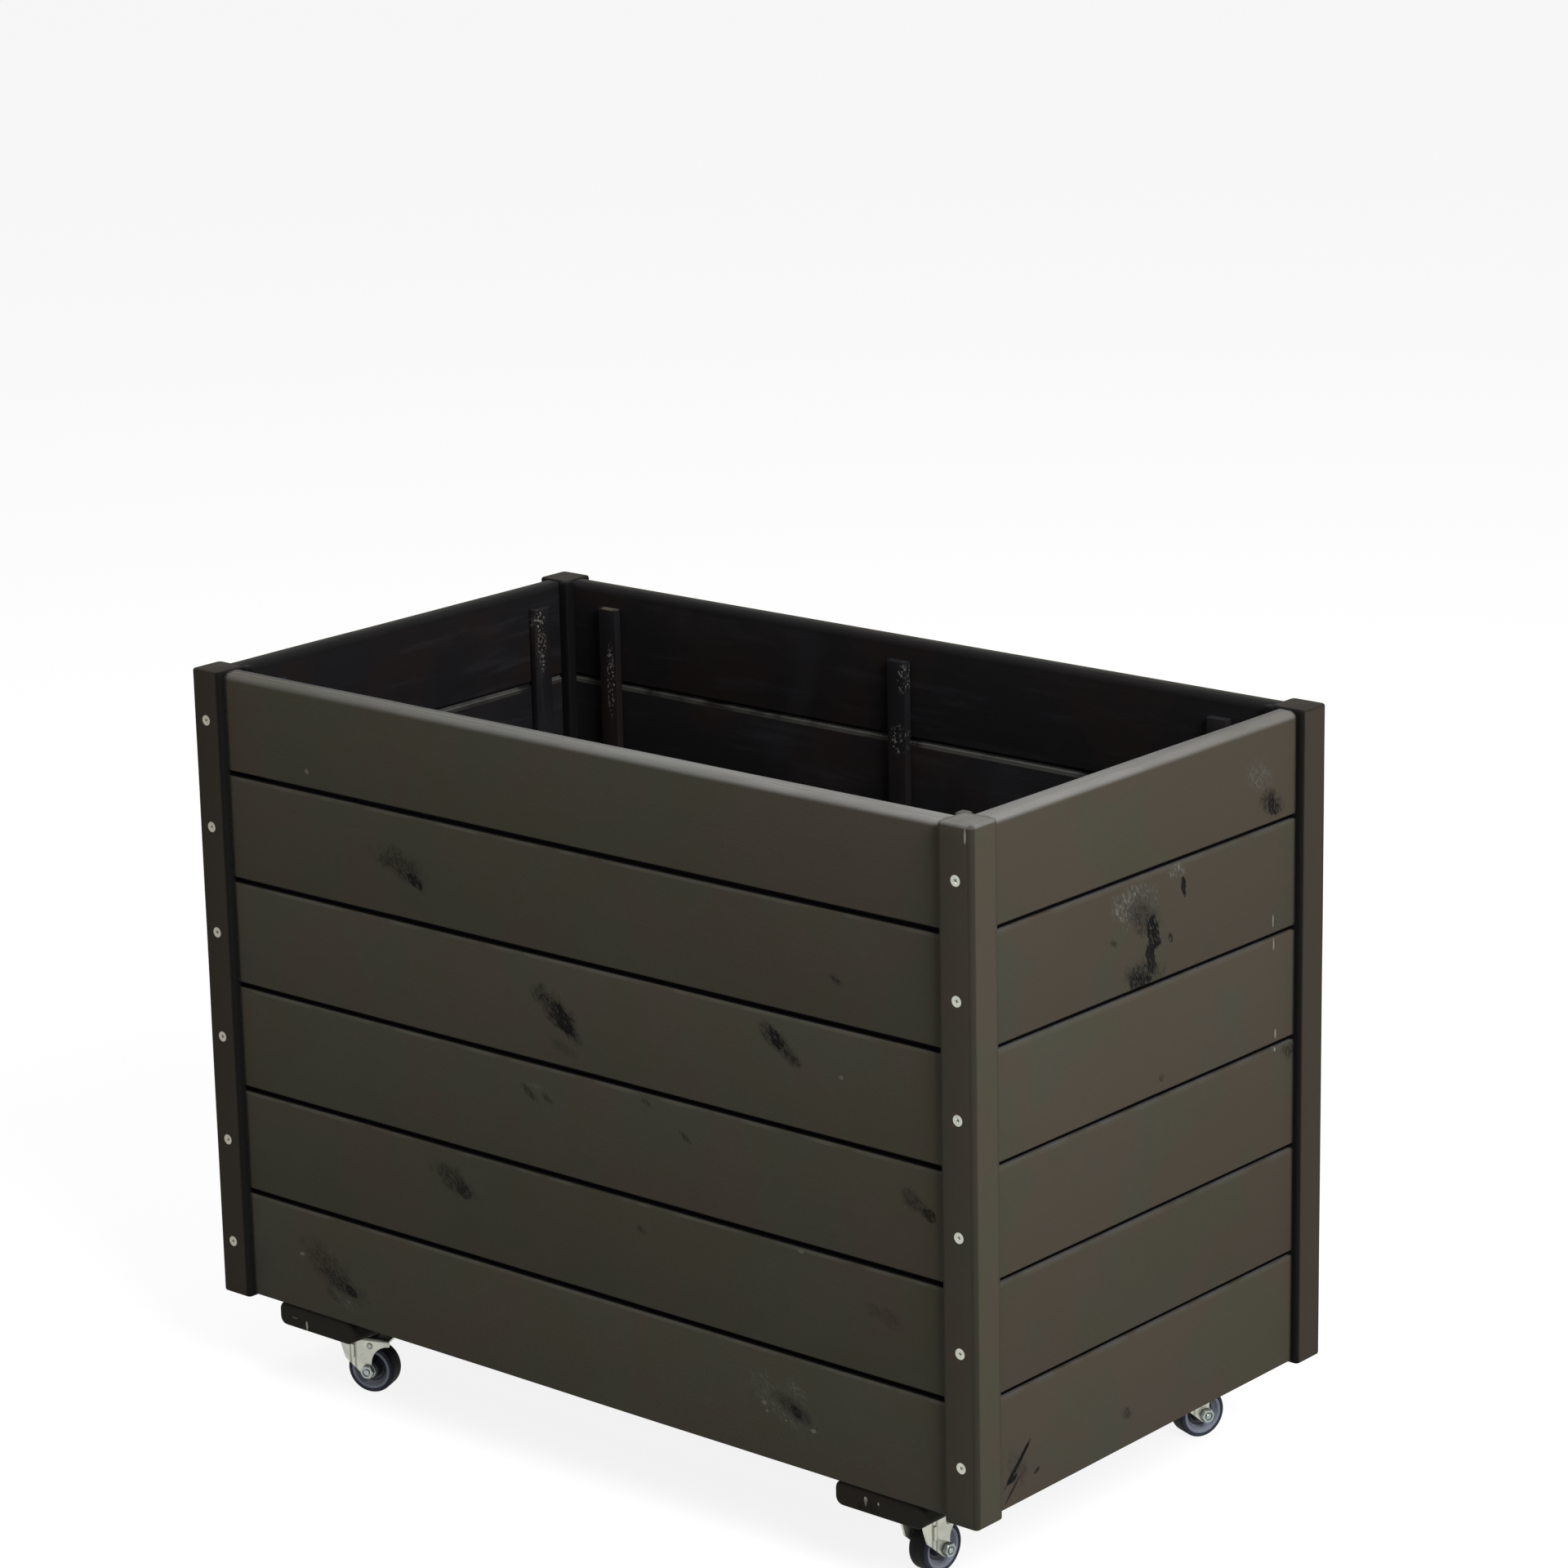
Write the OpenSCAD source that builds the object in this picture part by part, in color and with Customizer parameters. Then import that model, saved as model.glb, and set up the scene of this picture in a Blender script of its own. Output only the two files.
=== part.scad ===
// Rolling planter: tongue-and-groove boards between four corner posts, on two bearers
// with four swivel casters. Sizes are in millimetres.
// The origin is on the ground, under the middle of the box. +X runs along the long side,
// -Y is the front and +Z is up. Left and right are as seen from the front.

/* [Box] */
// Length over the corner posts
box_len = 780; // [560:10:1200]
// Width over the corner posts
box_wid = 430; // [340:10:800]
// Number of boards in the height of each wall
rows = 6; // [3:1:6]
// Height of the lowest board
bottom_board_h = 91; // [70:1:140]
// Height that each middle board covers
middle_board_h = 87; // [60:1:140]
// Height of the top board
top_board_h = 79; // [60:1:140]

/* [Board profile] */
// Thickness of the wall boards
board_t = 20; // [16:1:28]
// Thickness of the tongue
tongue_t = 6; // [4:0.5:8]
// Height of the tongue
tongue_h = 8; // [5:0.5:12]
// Play on each side of the tongue in its groove
tongue_play = 0.3; // [0.1:0.1:0.6]
// Height of the shadow gap between two boards, on the outside
shadow_h = 3.5; // [1:0.5:6]
// Depth of the shadow gap
shadow_d = 6; // [2:0.5:6.5]
// Height of the gap between two boards, on the inside
inner_gap_h = 3; // [0.5:0.5:5]
// Depth of that inner gap
inner_gap_d = 3; // [1.5:0.5:4]
// Rounding of the long edges of the boards
board_round = 1.5; // [0.5:0.5:3]
// Rounding of the top edge of the walls
rim_round = 6; // [1:0.5:8]

/* [Corner posts] */
// How far the posts stand out from the boards
post_proud = 6; // [5:1:10]
// How far the posts reach past the inner faces of the boards, along the walls
post_cover = 5; // [3:1:30]
// How far the inner corner of a post stands out from the boards inside the box
post_lip = 9; // [4:1:20]
// Rounding of the outer corner of a post
post_round = 4; // [2:1:12]
// Rounding of the post's edges beside the boards
post_edge_round = 4; // [1:0.5:6]
// How far the posts stand above the boards
post_rise = 1; // [1:1:30]
// How far the posts reach below the boards
post_drop = 2; // [0:1:15]
// Depth of the groove that houses the ends of the long boards
housing_d = 8; // [4:1:10]
// Thickness of the board ends in that groove
housing_t = 10; // [6:1:12]
// Play of the board ends in that groove
housing_play = 0.3; // [0.1:0.1:0.6]

/* [Inside battens] */
// Width of a batten
batten_w = 19; // [16:1:40]
// Thickness of a batten
batten_t = 7; // [6:1:20]
// Distance from the top of the boards down to the battens
batten_below_rim = 16; // [6:1:60]
// Distance of the outer battens on the long walls from the end of the box
long_batten_in = 78; // [60:1:140]
// Distance of the battens on the short walls from the side of the box
short_batten_in = 63; // [52:1:110]

/* [Floor] */
// Thickness of the floor boards
floor_t = 18; // [12:1:25]
// Number of floor boards
floor_count = 4; // [2:1:8]
// Drainage gap between two floor boards
floor_gap = 4; // [2:1:10]
// Play between the floor boards and the walls
floor_play = 1; // [0.5:0.5:3]

/* [Bearers] */
// Width of a bearer
bearer_w = 83; // [75:1:120]
// Thickness of a bearer
bearer_t = 20; // [16:1:40]
// Distance from the end of the box to the middle of a bearer
bearer_in = 98; // [85:1:150]
// Distance from the front of the posts to the end of a bearer
bearer_back = 8; // [2:1:40]
// Rounding of the bearer's long edges
bearer_round = 7; // [1:0.5:9]

/* [Casters] */
// Diameter of a wheel
wheel_d = 40; // [32:1:60]
// Gap between the top of a wheel and the king pin's head
wheel_gap = 3.7; // [1:0.1:20]
// Thickness of the tyre
tyre_t = 3.2; // [2.4:0.2:6]
// Width of the tyre
wheel_w = 18; // [14:1:22]
// Distance from the side of the box to the swivel axes
caster_in = 52; // [45:1:110]
// How far the casters sit to the right of the middle of their bearer
caster_shift = 8; // [0:1:8]
// Distance from the swivel axis to the axle
trail = 10; // [8:1:12]
// Width of the square mounting plate
plate_w = 48; // [46:1:60]
// Thickness of the mounting plate
plate_t = 2; // [1.5:0.5:3]
// Distance from the screw holes to the edges of the plate
plate_edge = 6; // [5:0.5:7]
// Reach of the fork's crown from the swivel axis, away from the axle
crown_front = 14; // [12.5:0.5:20]
// Reach of the fork's crown from the swivel axis, over the wheel
crown_back = 29; // [26:1:32]
// Thickness of the fork's sheet
sheet_t = 2; // [1.5:0.5:2.5]
// Play between the wheel and a cheek of the fork
cheek_play = 0.5; // [0.3:0.1:1]
// Diameter of the axle
axle_d = 6; // [5:0.5:8]
// Radial play of the wheel on its axle and of the fork on its king pin
running_play = 0.05; // [0.02:0.01:0.1]
// Direction of the front left wheel, from +X
yaw_front_left = 20; // [-180:1:180]
// Direction of the front right wheel, from +X
yaw_front_right = 85; // [-180:1:180]
// Direction of the back left wheel, from +X
yaw_back_left = 40; // [-180:1:180]
// Direction of the back right wheel, from +X
yaw_back_right = 70; // [-180:1:180]

/* [Screws] */
// Distance from the end of the box to the screws through the posts
post_screw_in = 14.5; // [12:0.5:20]
// Diameter of the screws through the posts
post_screw_d = 4.5; // [4:0.5:6]
// Head diameter of the screws through the posts
post_screw_head_d = 8.5; // [7:0.5:10]
// Length of the screws through the posts
post_screw_len = 60; // [45:5:90]
// Diameter of the screws in the battens and bearers
wood_screw_d = 3.5; // [3:0.5:5]
// Head diameter of the screws in the battens and bearers
wood_screw_head_d = 7; // [5.5:0.5:8]
// Length of the screws in the battens
batten_screw_len = 22; // [14:1:26]
// Wood left in the floor above the points of the bearers' screws
floor_skin = 3; // [1:0.5:8]
// Diameter of the screws in the caster plates
plate_screw_d = 4.5; // [3.5:0.5:5]
// Wood left in the bearers above the points of the plates' screws
bearer_skin = 4; // [1:0.5:8]
// Radial play between a screw and its hole
screw_play = 0.05; // [0.02:0.01:0.2]

/* [Hidden] */
$fn = 48;
eps = 0.01;
ROUND_STEPS = 5;

LONG_WALLS = ["front", "back"];
SHORT_WALLS = ["left", "right"];
CORNERS = ["front_left", "front_right", "back_left", "back_right"];
CASTER_PIECES = ["plate", "fork", "axle", "wheel", "tyre"];

// Race between a plate and its fork
dome_r = 11.5;
dome_h = 2.2;
race_gap = 0.15;
race_t = 1.5;
ball_d = 3;
ball_count = 12;
ball_ring_r = 8.2;
king_head_h = 2;
king_play = 0.3;

// Heights, from the ground up
axle_z = wheel_d / 2;
king_head_z = wheel_d + wheel_gap;
crown_z = king_head_z + king_head_h + king_play;
crown_top_z = crown_z + sheet_t;
ball_z = crown_top_z + dome_h + race_gap + ball_d / 2;
race_z = ball_z + ball_d / 2 + race_gap;
plate_z = race_z + race_t;
bearer_z = plate_z + plate_t;
wall_z = bearer_z + bearer_t;
walls_h = bottom_board_h + (rows - 2) * middle_board_h + top_board_h;
rim_z = wall_z + walls_h;
floor_top_z = wall_z + floor_t;
post_z = wall_z - post_drop;
post_h = walls_h + post_drop + post_rise;

// Plan
post_back = post_proud + board_t;
post_face_w = post_back + post_cover;
post_size = post_back + post_lip;
long_face_y = box_wid / 2 - post_proud;
short_face_x = box_len / 2 - post_proud;
long_inner_y = long_face_y - board_t;
short_inner_x = short_face_x - board_t;
long_board_len = box_len - 2 * post_face_w;
short_board_len = box_wid - 2 * post_face_w;
bearer_x = box_len / 2 - bearer_in;
bearer_len = box_wid - 2 * bearer_back;
caster_y = box_wid / 2 - caster_in;
long_batten_x = box_len / 2 - long_batten_in;
short_batten_x = box_wid / 2 - short_batten_in;
floor_pitch = (2 * (long_inner_y - floor_play) + floor_gap) / floor_count;

// Board profile
groove_t = tongue_t + 2 * tongue_play;
groove_h = tongue_h + 1;
tongue_x = (board_t - tongue_t) / 2;

// Screws
recess_w = 1;
recess_l = 4;
recess_d = 1.5;
screw_tip = 4;
tip_r = 0.4;
bearer_screw_edge = 11;
bearer_screw_off = bearer_w / 2 - bearer_screw_edge;
bearer_screw_len = bearer_t + floor_t - floor_skin;
plate_screw_len = plate_t + bearer_t - bearer_skin;

// Caster
hub_proud = 0.9;
cheek_in = wheel_w / 2 + hub_proud + cheek_play;
cheek_out = cheek_in + sheet_t;
bend_r = 3;
tip_h = 5.5;
knee_in = 4;
knee_h = 9.5;
plate_pitch = plate_w - 2 * plate_edge;
skirt_r = 14.5;
skirt_t = 1.9;
skirt_gap = 0.6;
king_r = 4;
king_head_r = 6.5;
boss_r = 6;
rib_x = -3;
rib_r = 1.4;
rib_over_boss = 6;
rib_top_z = crown_z - bend_r - rib_r;
hub_r = 7;
rim_r = wheel_d / 2 - tyre_t;
rim_t = 2.8;
rim_in_r = rim_r - rim_t;
rim_side = 0.75;
web_t = 5;
tyre_round = 3;
bolt_flange_r = 5.6;
bolt_flange_h = 1;
hex_af = 10;
hex_h = 4;
plate_corner_r = 6;
plate_head_r = 4;
plate_head_h = 2.4;

STAIN = "#3b3833";
STAIN_INSIDE = "#26242a";
ZINC = "#c9ccc2";
DARK_STEEL = "#3a3a3c";
GREY_WHEEL = "#5f666e";
RUBBER = "#1f1f21";

// ---------- helpers ----------

// Points of a quarter round about (x, y), from angle a on
function quarter(x, y, r, a) =
    [for (i = [0 : ROUND_STEPS]) [x + r * cos(a + 90 * i / ROUND_STEPS), y + r * sin(a + 90 * i / ROUND_STEPS)]];

// Height of the underside of board k above the underside of the wall; board 1 is the top one
function board_base(k) = k == rows ? 0 : bottom_board_h + (rows - 1 - k) * middle_board_h;

function board_height(k) = k == rows ? bottom_board_h : k == 1 ? top_board_h : middle_board_h;

// Height of the screws in board k: one pitch, down from the middle of the top board
function screw_z(k) = rim_z - top_board_h / 2 - (k - 1) * middle_board_h;

function side_x(c) = c == "front_left" || c == "back_left" ? -1 : 1;

function side_y(c) = c == "front_left" || c == "front_right" ? -1 : 1;

function yaw(c) =
    c == "front_left" ? yaw_front_left
    : c == "front_right" ? yaw_front_right
    : c == "back_left" ? yaw_back_left
    : yaw_back_right;

function wall_turn(w) = w == "back" ? 0 : w == "front" ? 180 : w == "left" ? 90 : -90;

function is_long(w) = w == "front" || w == "back";

function inner_face(w) = is_long(w) ? long_inner_y : short_inner_x;

function batten_places(w) =
    is_long(w) ? [-long_batten_x, 0, long_batten_x] : [-short_batten_x, short_batten_x];

// The frame of a wall: X along it, +Y outwards
module on_wall(w) {
    rotate([0, 0, wall_turn(w)]) children();
}

// A corner drawn for (-X, -Y) and mirrored to the named one
module at_corner(c) {
    translate([side_x(c) * box_len / 2, side_y(c) * box_wid / 2, 0])
        mirror_if(side_x(c) > 0, [1, 0, 0])
            mirror_if(side_y(c) > 0, [0, 1, 0])
                children();
}

module mirror_if(yes, axis) {
    if (yes) mirror(axis) children();
    else children();
}

// The frame of a caster, unturned
module at_caster(c) {
    translate([side_x(c) * bearer_x + caster_shift, side_y(c) * caster_y, 0]) children();
}

// The frame of a caster's fork: +X towards the axle
module at_fork(c) {
    at_caster(c) rotate([0, 0, yaw(c)]) children();
}

// The frame of a caster's wheel: Z along the axle
module at_axle(c) {
    at_fork(c) translate([trail, 0, axle_z]) rotate([90, 0, 0]) children();
}

// ---------- screws ----------

module cross_recess() {
    for (a = [0, 90])
        rotate([0, 0, a])
            translate([-recess_l / 2, -recess_w / 2, -recess_d])
                cube([recess_l, recess_w, recess_d + 1]);
}

// A countersunk screw with its head's face at Z = 0 and its point down
module cross_screw(len, d, head_d) {
    head_h = (head_d - d) / 2;
    difference() {
        union() {
            translate([0, 0, -head_h]) cylinder(r1 = d / 2, r2 = head_d / 2, h = head_h);
            translate([0, 0, -len + screw_tip]) cylinder(r = d / 2, h = len - screw_tip - head_h);
            translate([0, 0, -len]) cylinder(r1 = tip_r, r2 = d / 2, h = screw_tip);
        }
        cross_recess();
    }
}

// The hole that a countersunk screw leaves in the wood
module screw_hole(len, d, head_d) {
    head_h = (head_d - d) / 2;
    play = screw_play;
    translate([0, 0, -head_h - play]) cylinder(r1 = d / 2 + play, r2 = head_d / 2 + play, h = head_h);
    translate([0, 0, -play]) cylinder(r = head_d / 2 + play, h = play + eps);
    translate([0, 0, -len + screw_tip - play]) cylinder(r = d / 2 + play, h = len - screw_tip);
    translate([0, 0, -len - play]) cylinder(r1 = tip_r, r2 = d / 2 + play, h = screw_tip);
}

// Screws through the posts of a long wall, in that wall's frame
module at_post_screws(places, heights) {
    for (x = places, z = heights)
        translate([x, box_wid / 2, z]) rotate([-90, 0, 0]) children();
}

module at_batten_screws(w, ks) {
    for (x = batten_places(w), k = ks)
        translate([x, inner_face(w) - batten_t, screw_z(k)]) rotate([90, 0, 0]) children();
}

// Screws up through one bearer: two into each long wall, and one into each floor board
// on the side that the casters leave free
module at_bearer_screws(sx) {
    wall_y = long_inner_y + board_t / 2;
    for (dx = [-bearer_screw_off, bearer_screw_off], y = [-wall_y, wall_y])
        translate([sx * bearer_x + dx, y, bearer_z]) rotate([180, 0, 0]) children();
    for (i = [0 : floor_count - 1])
        translate([sx * bearer_x - bearer_screw_off, floor_board_y(i), bearer_z])
            rotate([180, 0, 0]) children();
}

module bearer_holes() {
    for (sx = [-1, 1])
        at_bearer_screws(sx) screw_hole(bearer_screw_len, wood_screw_d, wood_screw_head_d);
}

module at_plate_screws() {
    for (x = [-1, 1], y = [-1, 1])
        translate([x * plate_pitch / 2, y * plate_pitch / 2, plate_z]) rotate([180, 0, 0]) children();
}

// ---------- posts ----------

module post_section() {
    b = post_face_w;
    polygon(concat(
        quarter(post_round, post_round, post_round, 180),
        quarter(b - post_edge_round, post_edge_round, post_edge_round, 270),
        [[b, post_back], [post_size, post_back]],
        quarter(post_size - board_round, post_size - board_round, board_round, 0),
        [[post_back, post_size], [post_back, b]],
        quarter(post_edge_round, b - post_edge_round, post_edge_round, 90)
    ));
}

module post(c) {
    color(STAIN)
        difference() {
            at_corner(c) {
                difference() {
                    translate([0, 0, post_z]) linear_extrude(post_h) post_section();
                    translate([
                        post_face_w - housing_d - housing_play,
                        post_proud + (board_t - housing_t) / 2 - housing_play,
                        post_z - 1
                    ])
                        cube([
                            housing_d + housing_play + 1,
                            housing_t + 2 * housing_play,
                            rim_z - post_z + 1 + housing_play
                        ]);
                }
            }
            on_wall(side_y(c) < 0 ? "front" : "back")
                at_post_screws(
                    [side_x(c) * side_y(c) * (box_len / 2 - post_screw_in)],
                    [for (k = [1 : rows]) screw_z(k)]
                )
                    screw_hole(post_screw_len, post_screw_d, post_screw_head_d);
        }
}

// ---------- wall boards ----------

// Section of board k: X from the inner face outwards, Y up from its underside
module board_section(k) {
    h = board_height(k);
    r = board_round;
    groove_x = tongue_x - tongue_play;
    shadow_x = board_t - shadow_d;
    shoulder = h - shadow_h;
    inner_shoulder = h - inner_gap_h;
    bottom = k == rows ? [] : [
        [groove_x, 0], [groove_x, groove_h],
        [groove_x + groove_t, groove_h], [groove_x + groove_t, 0]
    ];
    plain_top = concat(
        quarter(board_t - rim_round, h - rim_round, rim_round, 0),
        quarter(rim_round, h - rim_round, rim_round, 90)
    );
    tongue_top = concat(
        quarter(board_t - r, shoulder - r, r, 0),
        [[shadow_x, shoulder], [shadow_x, h]],
        [[tongue_x + tongue_t, h], [tongue_x + tongue_t, h + tongue_h]],
        [[tongue_x, h + tongue_h], [tongue_x, h]],
        [[inner_gap_d, h], [inner_gap_d, inner_shoulder]],
        quarter(r, inner_shoulder - r, r, 90)
    );
    polygon(concat(
        quarter(r, r, r, 180),
        bottom,
        quarter(board_t - r, r, r, 270),
        k == 1 ? plain_top : tongue_top
    ));
}

// Lays a section along the wall: its X outwards, its Y up
module run_along(len) {
    rotate([90, 0, 90]) translate([0, 0, -len / 2]) linear_extrude(len) children();
}

// The ends of a long board are thinned to fit the grooves of the posts
module long_board_blank(k) {
    run_along(long_board_len) board_section(k);
    run_along(long_board_len + 2 * housing_d)
        intersection() {
            board_section(k);
            translate([(board_t - housing_t) / 2, 0]) square([housing_t, board_height(k)]);
        }
}

module wall_board(w, k) {
    ks = [k];
    color(STAIN)
        difference() {
            on_wall(w)
                difference() {
                    translate([0, inner_face(w), wall_z + board_base(k)]) {
                        if (is_long(w)) long_board_blank(k);
                        else run_along(short_board_len) board_section(k);
                    }
                    at_batten_screws(w, ks)
                        screw_hole(batten_screw_len, wood_screw_d, wood_screw_head_d);
                }
            if (is_long(w) && k == rows) bearer_holes();
            if (!is_long(w))
                for (f = LONG_WALLS)
                    on_wall(f)
                        at_post_screws(
                            [side_of(w, f) * (box_len / 2 - post_screw_in)],
                            [screw_z(k)]
                        )
                            screw_hole(post_screw_len, post_screw_d, post_screw_head_d);
        }
}

// On which side of long wall f, in its own frame, short wall w lies
function side_of(w, f) = (w == "right" ? 1 : -1) * (f == "back" ? 1 : -1);

// ---------- battens, floor and bearers ----------

module battens(walls) {
    color(STAIN_INSIDE)
        for (w = walls)
            on_wall(w)
                difference() {
                    for (x = batten_places(w))
                        translate([x - batten_w / 2, inner_face(w) - batten_t, floor_top_z])
                            cube([batten_w, batten_t, rim_z - batten_below_rim - floor_top_z]);
                    at_batten_screws(w, [for (k = [1 : rows]) k])
                        screw_hole(batten_screw_len, wood_screw_d, wood_screw_head_d);
                }
}

function floor_board_y(i) = (i - (floor_count - 1) / 2) * floor_pitch;

module floor_boards() {
    len = 2 * (short_inner_x - floor_play);
    wid = floor_pitch - floor_gap;
    color(STAIN_INSIDE)
        difference() {
            for (i = [0 : floor_count - 1])
                translate([-len / 2, floor_board_y(i) - wid / 2, wall_z]) cube([len, wid, floor_t]);
            for (c = CORNERS)
                at_corner(c)
                    translate([0, 0, wall_z - 1])
                        cube([post_size + floor_play, post_size + floor_play, floor_t + 2]);
            bearer_holes();
        }
}

module bearer(sx) {
    r = bearer_round;
    w = bearer_w;
    h = bearer_t;
    color(STAIN)
        difference() {
            translate([sx * bearer_x, bearer_len / 2, bearer_z])
                rotate([90, 0, 0])
                    linear_extrude(bearer_len)
                        translate([-w / 2, 0])
                            polygon(concat(
                                quarter(r, r, r, 180),
                                quarter(w - r, r, r, 270),
                                quarter(w - r, h - r, r, 0),
                                quarter(r, h - r, r, 90)
                            ));
            bearer_holes();
            for (c = CORNERS)
                at_caster(c)
                    at_plate_screws()
                        translate([0, 0, -plate_screw_len])
                            cylinder(r = plate_screw_d / 2 + screw_play, h = plate_screw_len + 1);
        }
}

// ---------- groups of screws ----------

module post_screws(w) {
    x = box_len / 2 - post_screw_in;
    color(ZINC)
        on_wall(w)
            at_post_screws([-x, x], [for (k = [1 : rows]) screw_z(k)])
                cross_screw(post_screw_len, post_screw_d, post_screw_head_d);
}

module batten_screws() {
    color(DARK_STEEL)
        for (w = concat(LONG_WALLS, SHORT_WALLS))
            on_wall(w)
                at_batten_screws(w, [for (k = [1 : rows]) k])
                    cross_screw(batten_screw_len, wood_screw_d, wood_screw_head_d);
}

module bearer_screws() {
    color(ZINC)
        for (sx = [-1, 1])
            at_bearer_screws(sx)
                cross_screw(bearer_screw_len, wood_screw_d, wood_screw_head_d);
}

module caster_screws() {
    color(ZINC)
        for (c = CORNERS)
            at_caster(c)
                at_plate_screws()
                    difference() {
                        union() {
                            cylinder(r = plate_head_r, h = plate_head_h);
                            translate([0, 0, screw_tip - plate_screw_len])
                                cylinder(r = plate_screw_d / 2, h = plate_screw_len - screw_tip + eps);
                            translate([0, 0, -plate_screw_len])
                                cylinder(r1 = tip_r, r2 = plate_screw_d / 2, h = screw_tip);
                        }
                        translate([0, 0, plate_head_h]) cross_recess();
                    }
}

// ---------- casters ----------

module rounded_square(w, r) {
    translate([-w / 2, -w / 2])
        polygon(concat(
            quarter(r, r, r, 180),
            quarter(w - r, r, r, 270),
            quarter(w - r, w - r, r, 0),
            quarter(r, w - r, r, 90)
        ));
}

// Top plate with the race for the balls and a skirt round it
module caster_plate(c) {
    color(ZINC)
        at_caster(c)
            difference() {
                union() {
                    translate([0, 0, plate_z]) linear_extrude(plate_t) rounded_square(plate_w, plate_corner_r);
                    translate([0, 0, race_z]) cylinder(r = skirt_r, h = plate_z - race_z + eps);
                    translate([0, 0, crown_top_z + skirt_gap])
                        difference() {
                            cylinder(r = skirt_r, h = race_z - crown_top_z);
                            translate([0, 0, -1]) cylinder(r = skirt_r - skirt_t, h = race_z - crown_top_z + 2);
                        }
                }
                translate([0, 0, race_z - 1]) cylinder(r = king_r + screw_play, h = bearer_z - race_z + 2);
                at_plate_screws()
                    translate([0, 0, -plate_t - 1])
                        cylinder(r = plate_screw_d / 2 + screw_play, h = plate_t + 2);
            }
}

module caster_king_pins() {
    color(ZINC)
        for (c = CORNERS)
            at_caster(c) {
                top = king_head_z + king_head_h;
                translate([0, 0, king_head_z]) cylinder(r = king_head_r, h = king_head_h);
                translate([0, 0, top - eps]) cylinder(r = king_r, h = bearer_z - king_play - top + eps);
            }
}

module caster_balls() {
    color(DARK_STEEL)
        for (c = CORNERS)
            at_caster(c)
                for (i = [0 : ball_count - 1])
                    rotate([0, 0, 360 * i / ball_count])
                        translate([ball_ring_r, 0, ball_z]) sphere(d = ball_d);
}

// Where a line from p touches a circle of radius r about c, on its lower left side
function tangent_point(p, c, r) =
    let (d = c - p, len = norm(d), a = atan2(d[1], d[0]) - asin(r / len), reach = sqrt(len * len - r * r))
    p + reach * [cos(a), sin(a)];

// The fork from the side: X towards the axle, Y up
module fork_side() {
    axle = [trail, axle_z];
    tip_z = crown_top_z - tip_h;
    knee = [knee_in - crown_front, axle_z + knee_h];
    back_x = trail + boss_r / 2;
    flare = crown_back - back_x;
    polygon(concat(
        [[crown_back, crown_top_z]],
        quarter(crown_back, tip_z - flare, flare, 90),
        [[back_x, axle_z], axle, tangent_point(knee, axle, boss_r), knee],
        [[-crown_front, tip_z], [-crown_front, crown_top_z]]
    ));
    translate(axle) circle(r = boss_r);
}

// One half of the fork's bent strip, from the end: X outwards, Y up
module strip_half() {
    inner_r = bend_r - sheet_t;
    polygon(concat(
        [[0, crown_z], [0, crown_top_z]],
        [for (p = quarter(0, 0, bend_r, 0)) [cheek_out - bend_r + p[1], crown_top_z - bend_r + p[0]]],
        [[cheek_out, 0], [cheek_in, 0]],
        [for (p = quarter(0, 0, inner_r, 0)) [cheek_in - inner_r + p[0], crown_z - inner_r + p[1]]]
    ));
}

// Fork: a strip bent down on both sides of the wheel, with a raised race and stiffening ribs
module caster_fork(c) {
    rib_low = axle_z + boss_r + rib_over_boss;
    color(ZINC)
        at_fork(c)
            difference() {
                union() {
                    intersection() {
                        translate([0, cheek_out + 1, 0])
                            rotate([90, 0, 0]) linear_extrude(2 * cheek_out + 2) fork_side();
                        translate([-crown_front - 1, 0, 0])
                            rotate([90, 0, 90])
                                linear_extrude(crown_front + crown_back + 2) {
                                    strip_half();
                                    mirror([1, 0]) strip_half();
                                }
                    }
                    translate([0, 0, crown_top_z - eps]) cylinder(r = dome_r, h = dome_h + eps);
                    for (s = [-1, 1])
                        translate([rib_x, s * cheek_out, rib_low]) {
                            cylinder(r = rib_r, h = rib_top_z - rib_low);
                            sphere(r = rib_r);
                            translate([0, 0, rib_top_z - rib_low]) sphere(r = rib_r);
                        }
                }
                translate([0, 0, crown_z - 1]) cylinder(r = king_r + running_play, h = sheet_t + dome_h + 2);
                translate([trail, cheek_out + 1, axle_z])
                    rotate([90, 0, 0])
                        cylinder(r = axle_d / 2 + 0.1, h = 2 * cheek_out + 2);
                // the inner side of the ribs stays flat
                translate([rib_x - rib_r - 1, -cheek_in, axle_z])
                    cube([2 * rib_r + 2, 2 * cheek_in, crown_z - bend_r - axle_z]);
            }
}

// Bolt and nut; the head is on the side that faces outwards
module caster_axle(c) {
    hex_r = hex_af / 2 / cos(30);
    color(ZINC)
        at_axle(c) {
            translate([0, 0, -cheek_out - hex_h - 1])
                cylinder(r = axle_d / 2, h = 2 * cheek_out + hex_h + 1 + eps);
            translate([0, 0, cheek_out]) cylinder(r = bolt_flange_r, h = bolt_flange_h);
            translate([0, 0, cheek_out + bolt_flange_h - eps]) cylinder(r = hex_r, h = hex_h + eps, $fn = 6);
            translate([0, 0, -cheek_out - hex_h])
                difference() {
                    cylinder(r = hex_r, h = hex_h, $fn = 6);
                    translate([0, 0, -1]) cylinder(r = axle_d / 2 + screw_play, h = hex_h + 2);
                }
        }
}

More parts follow.
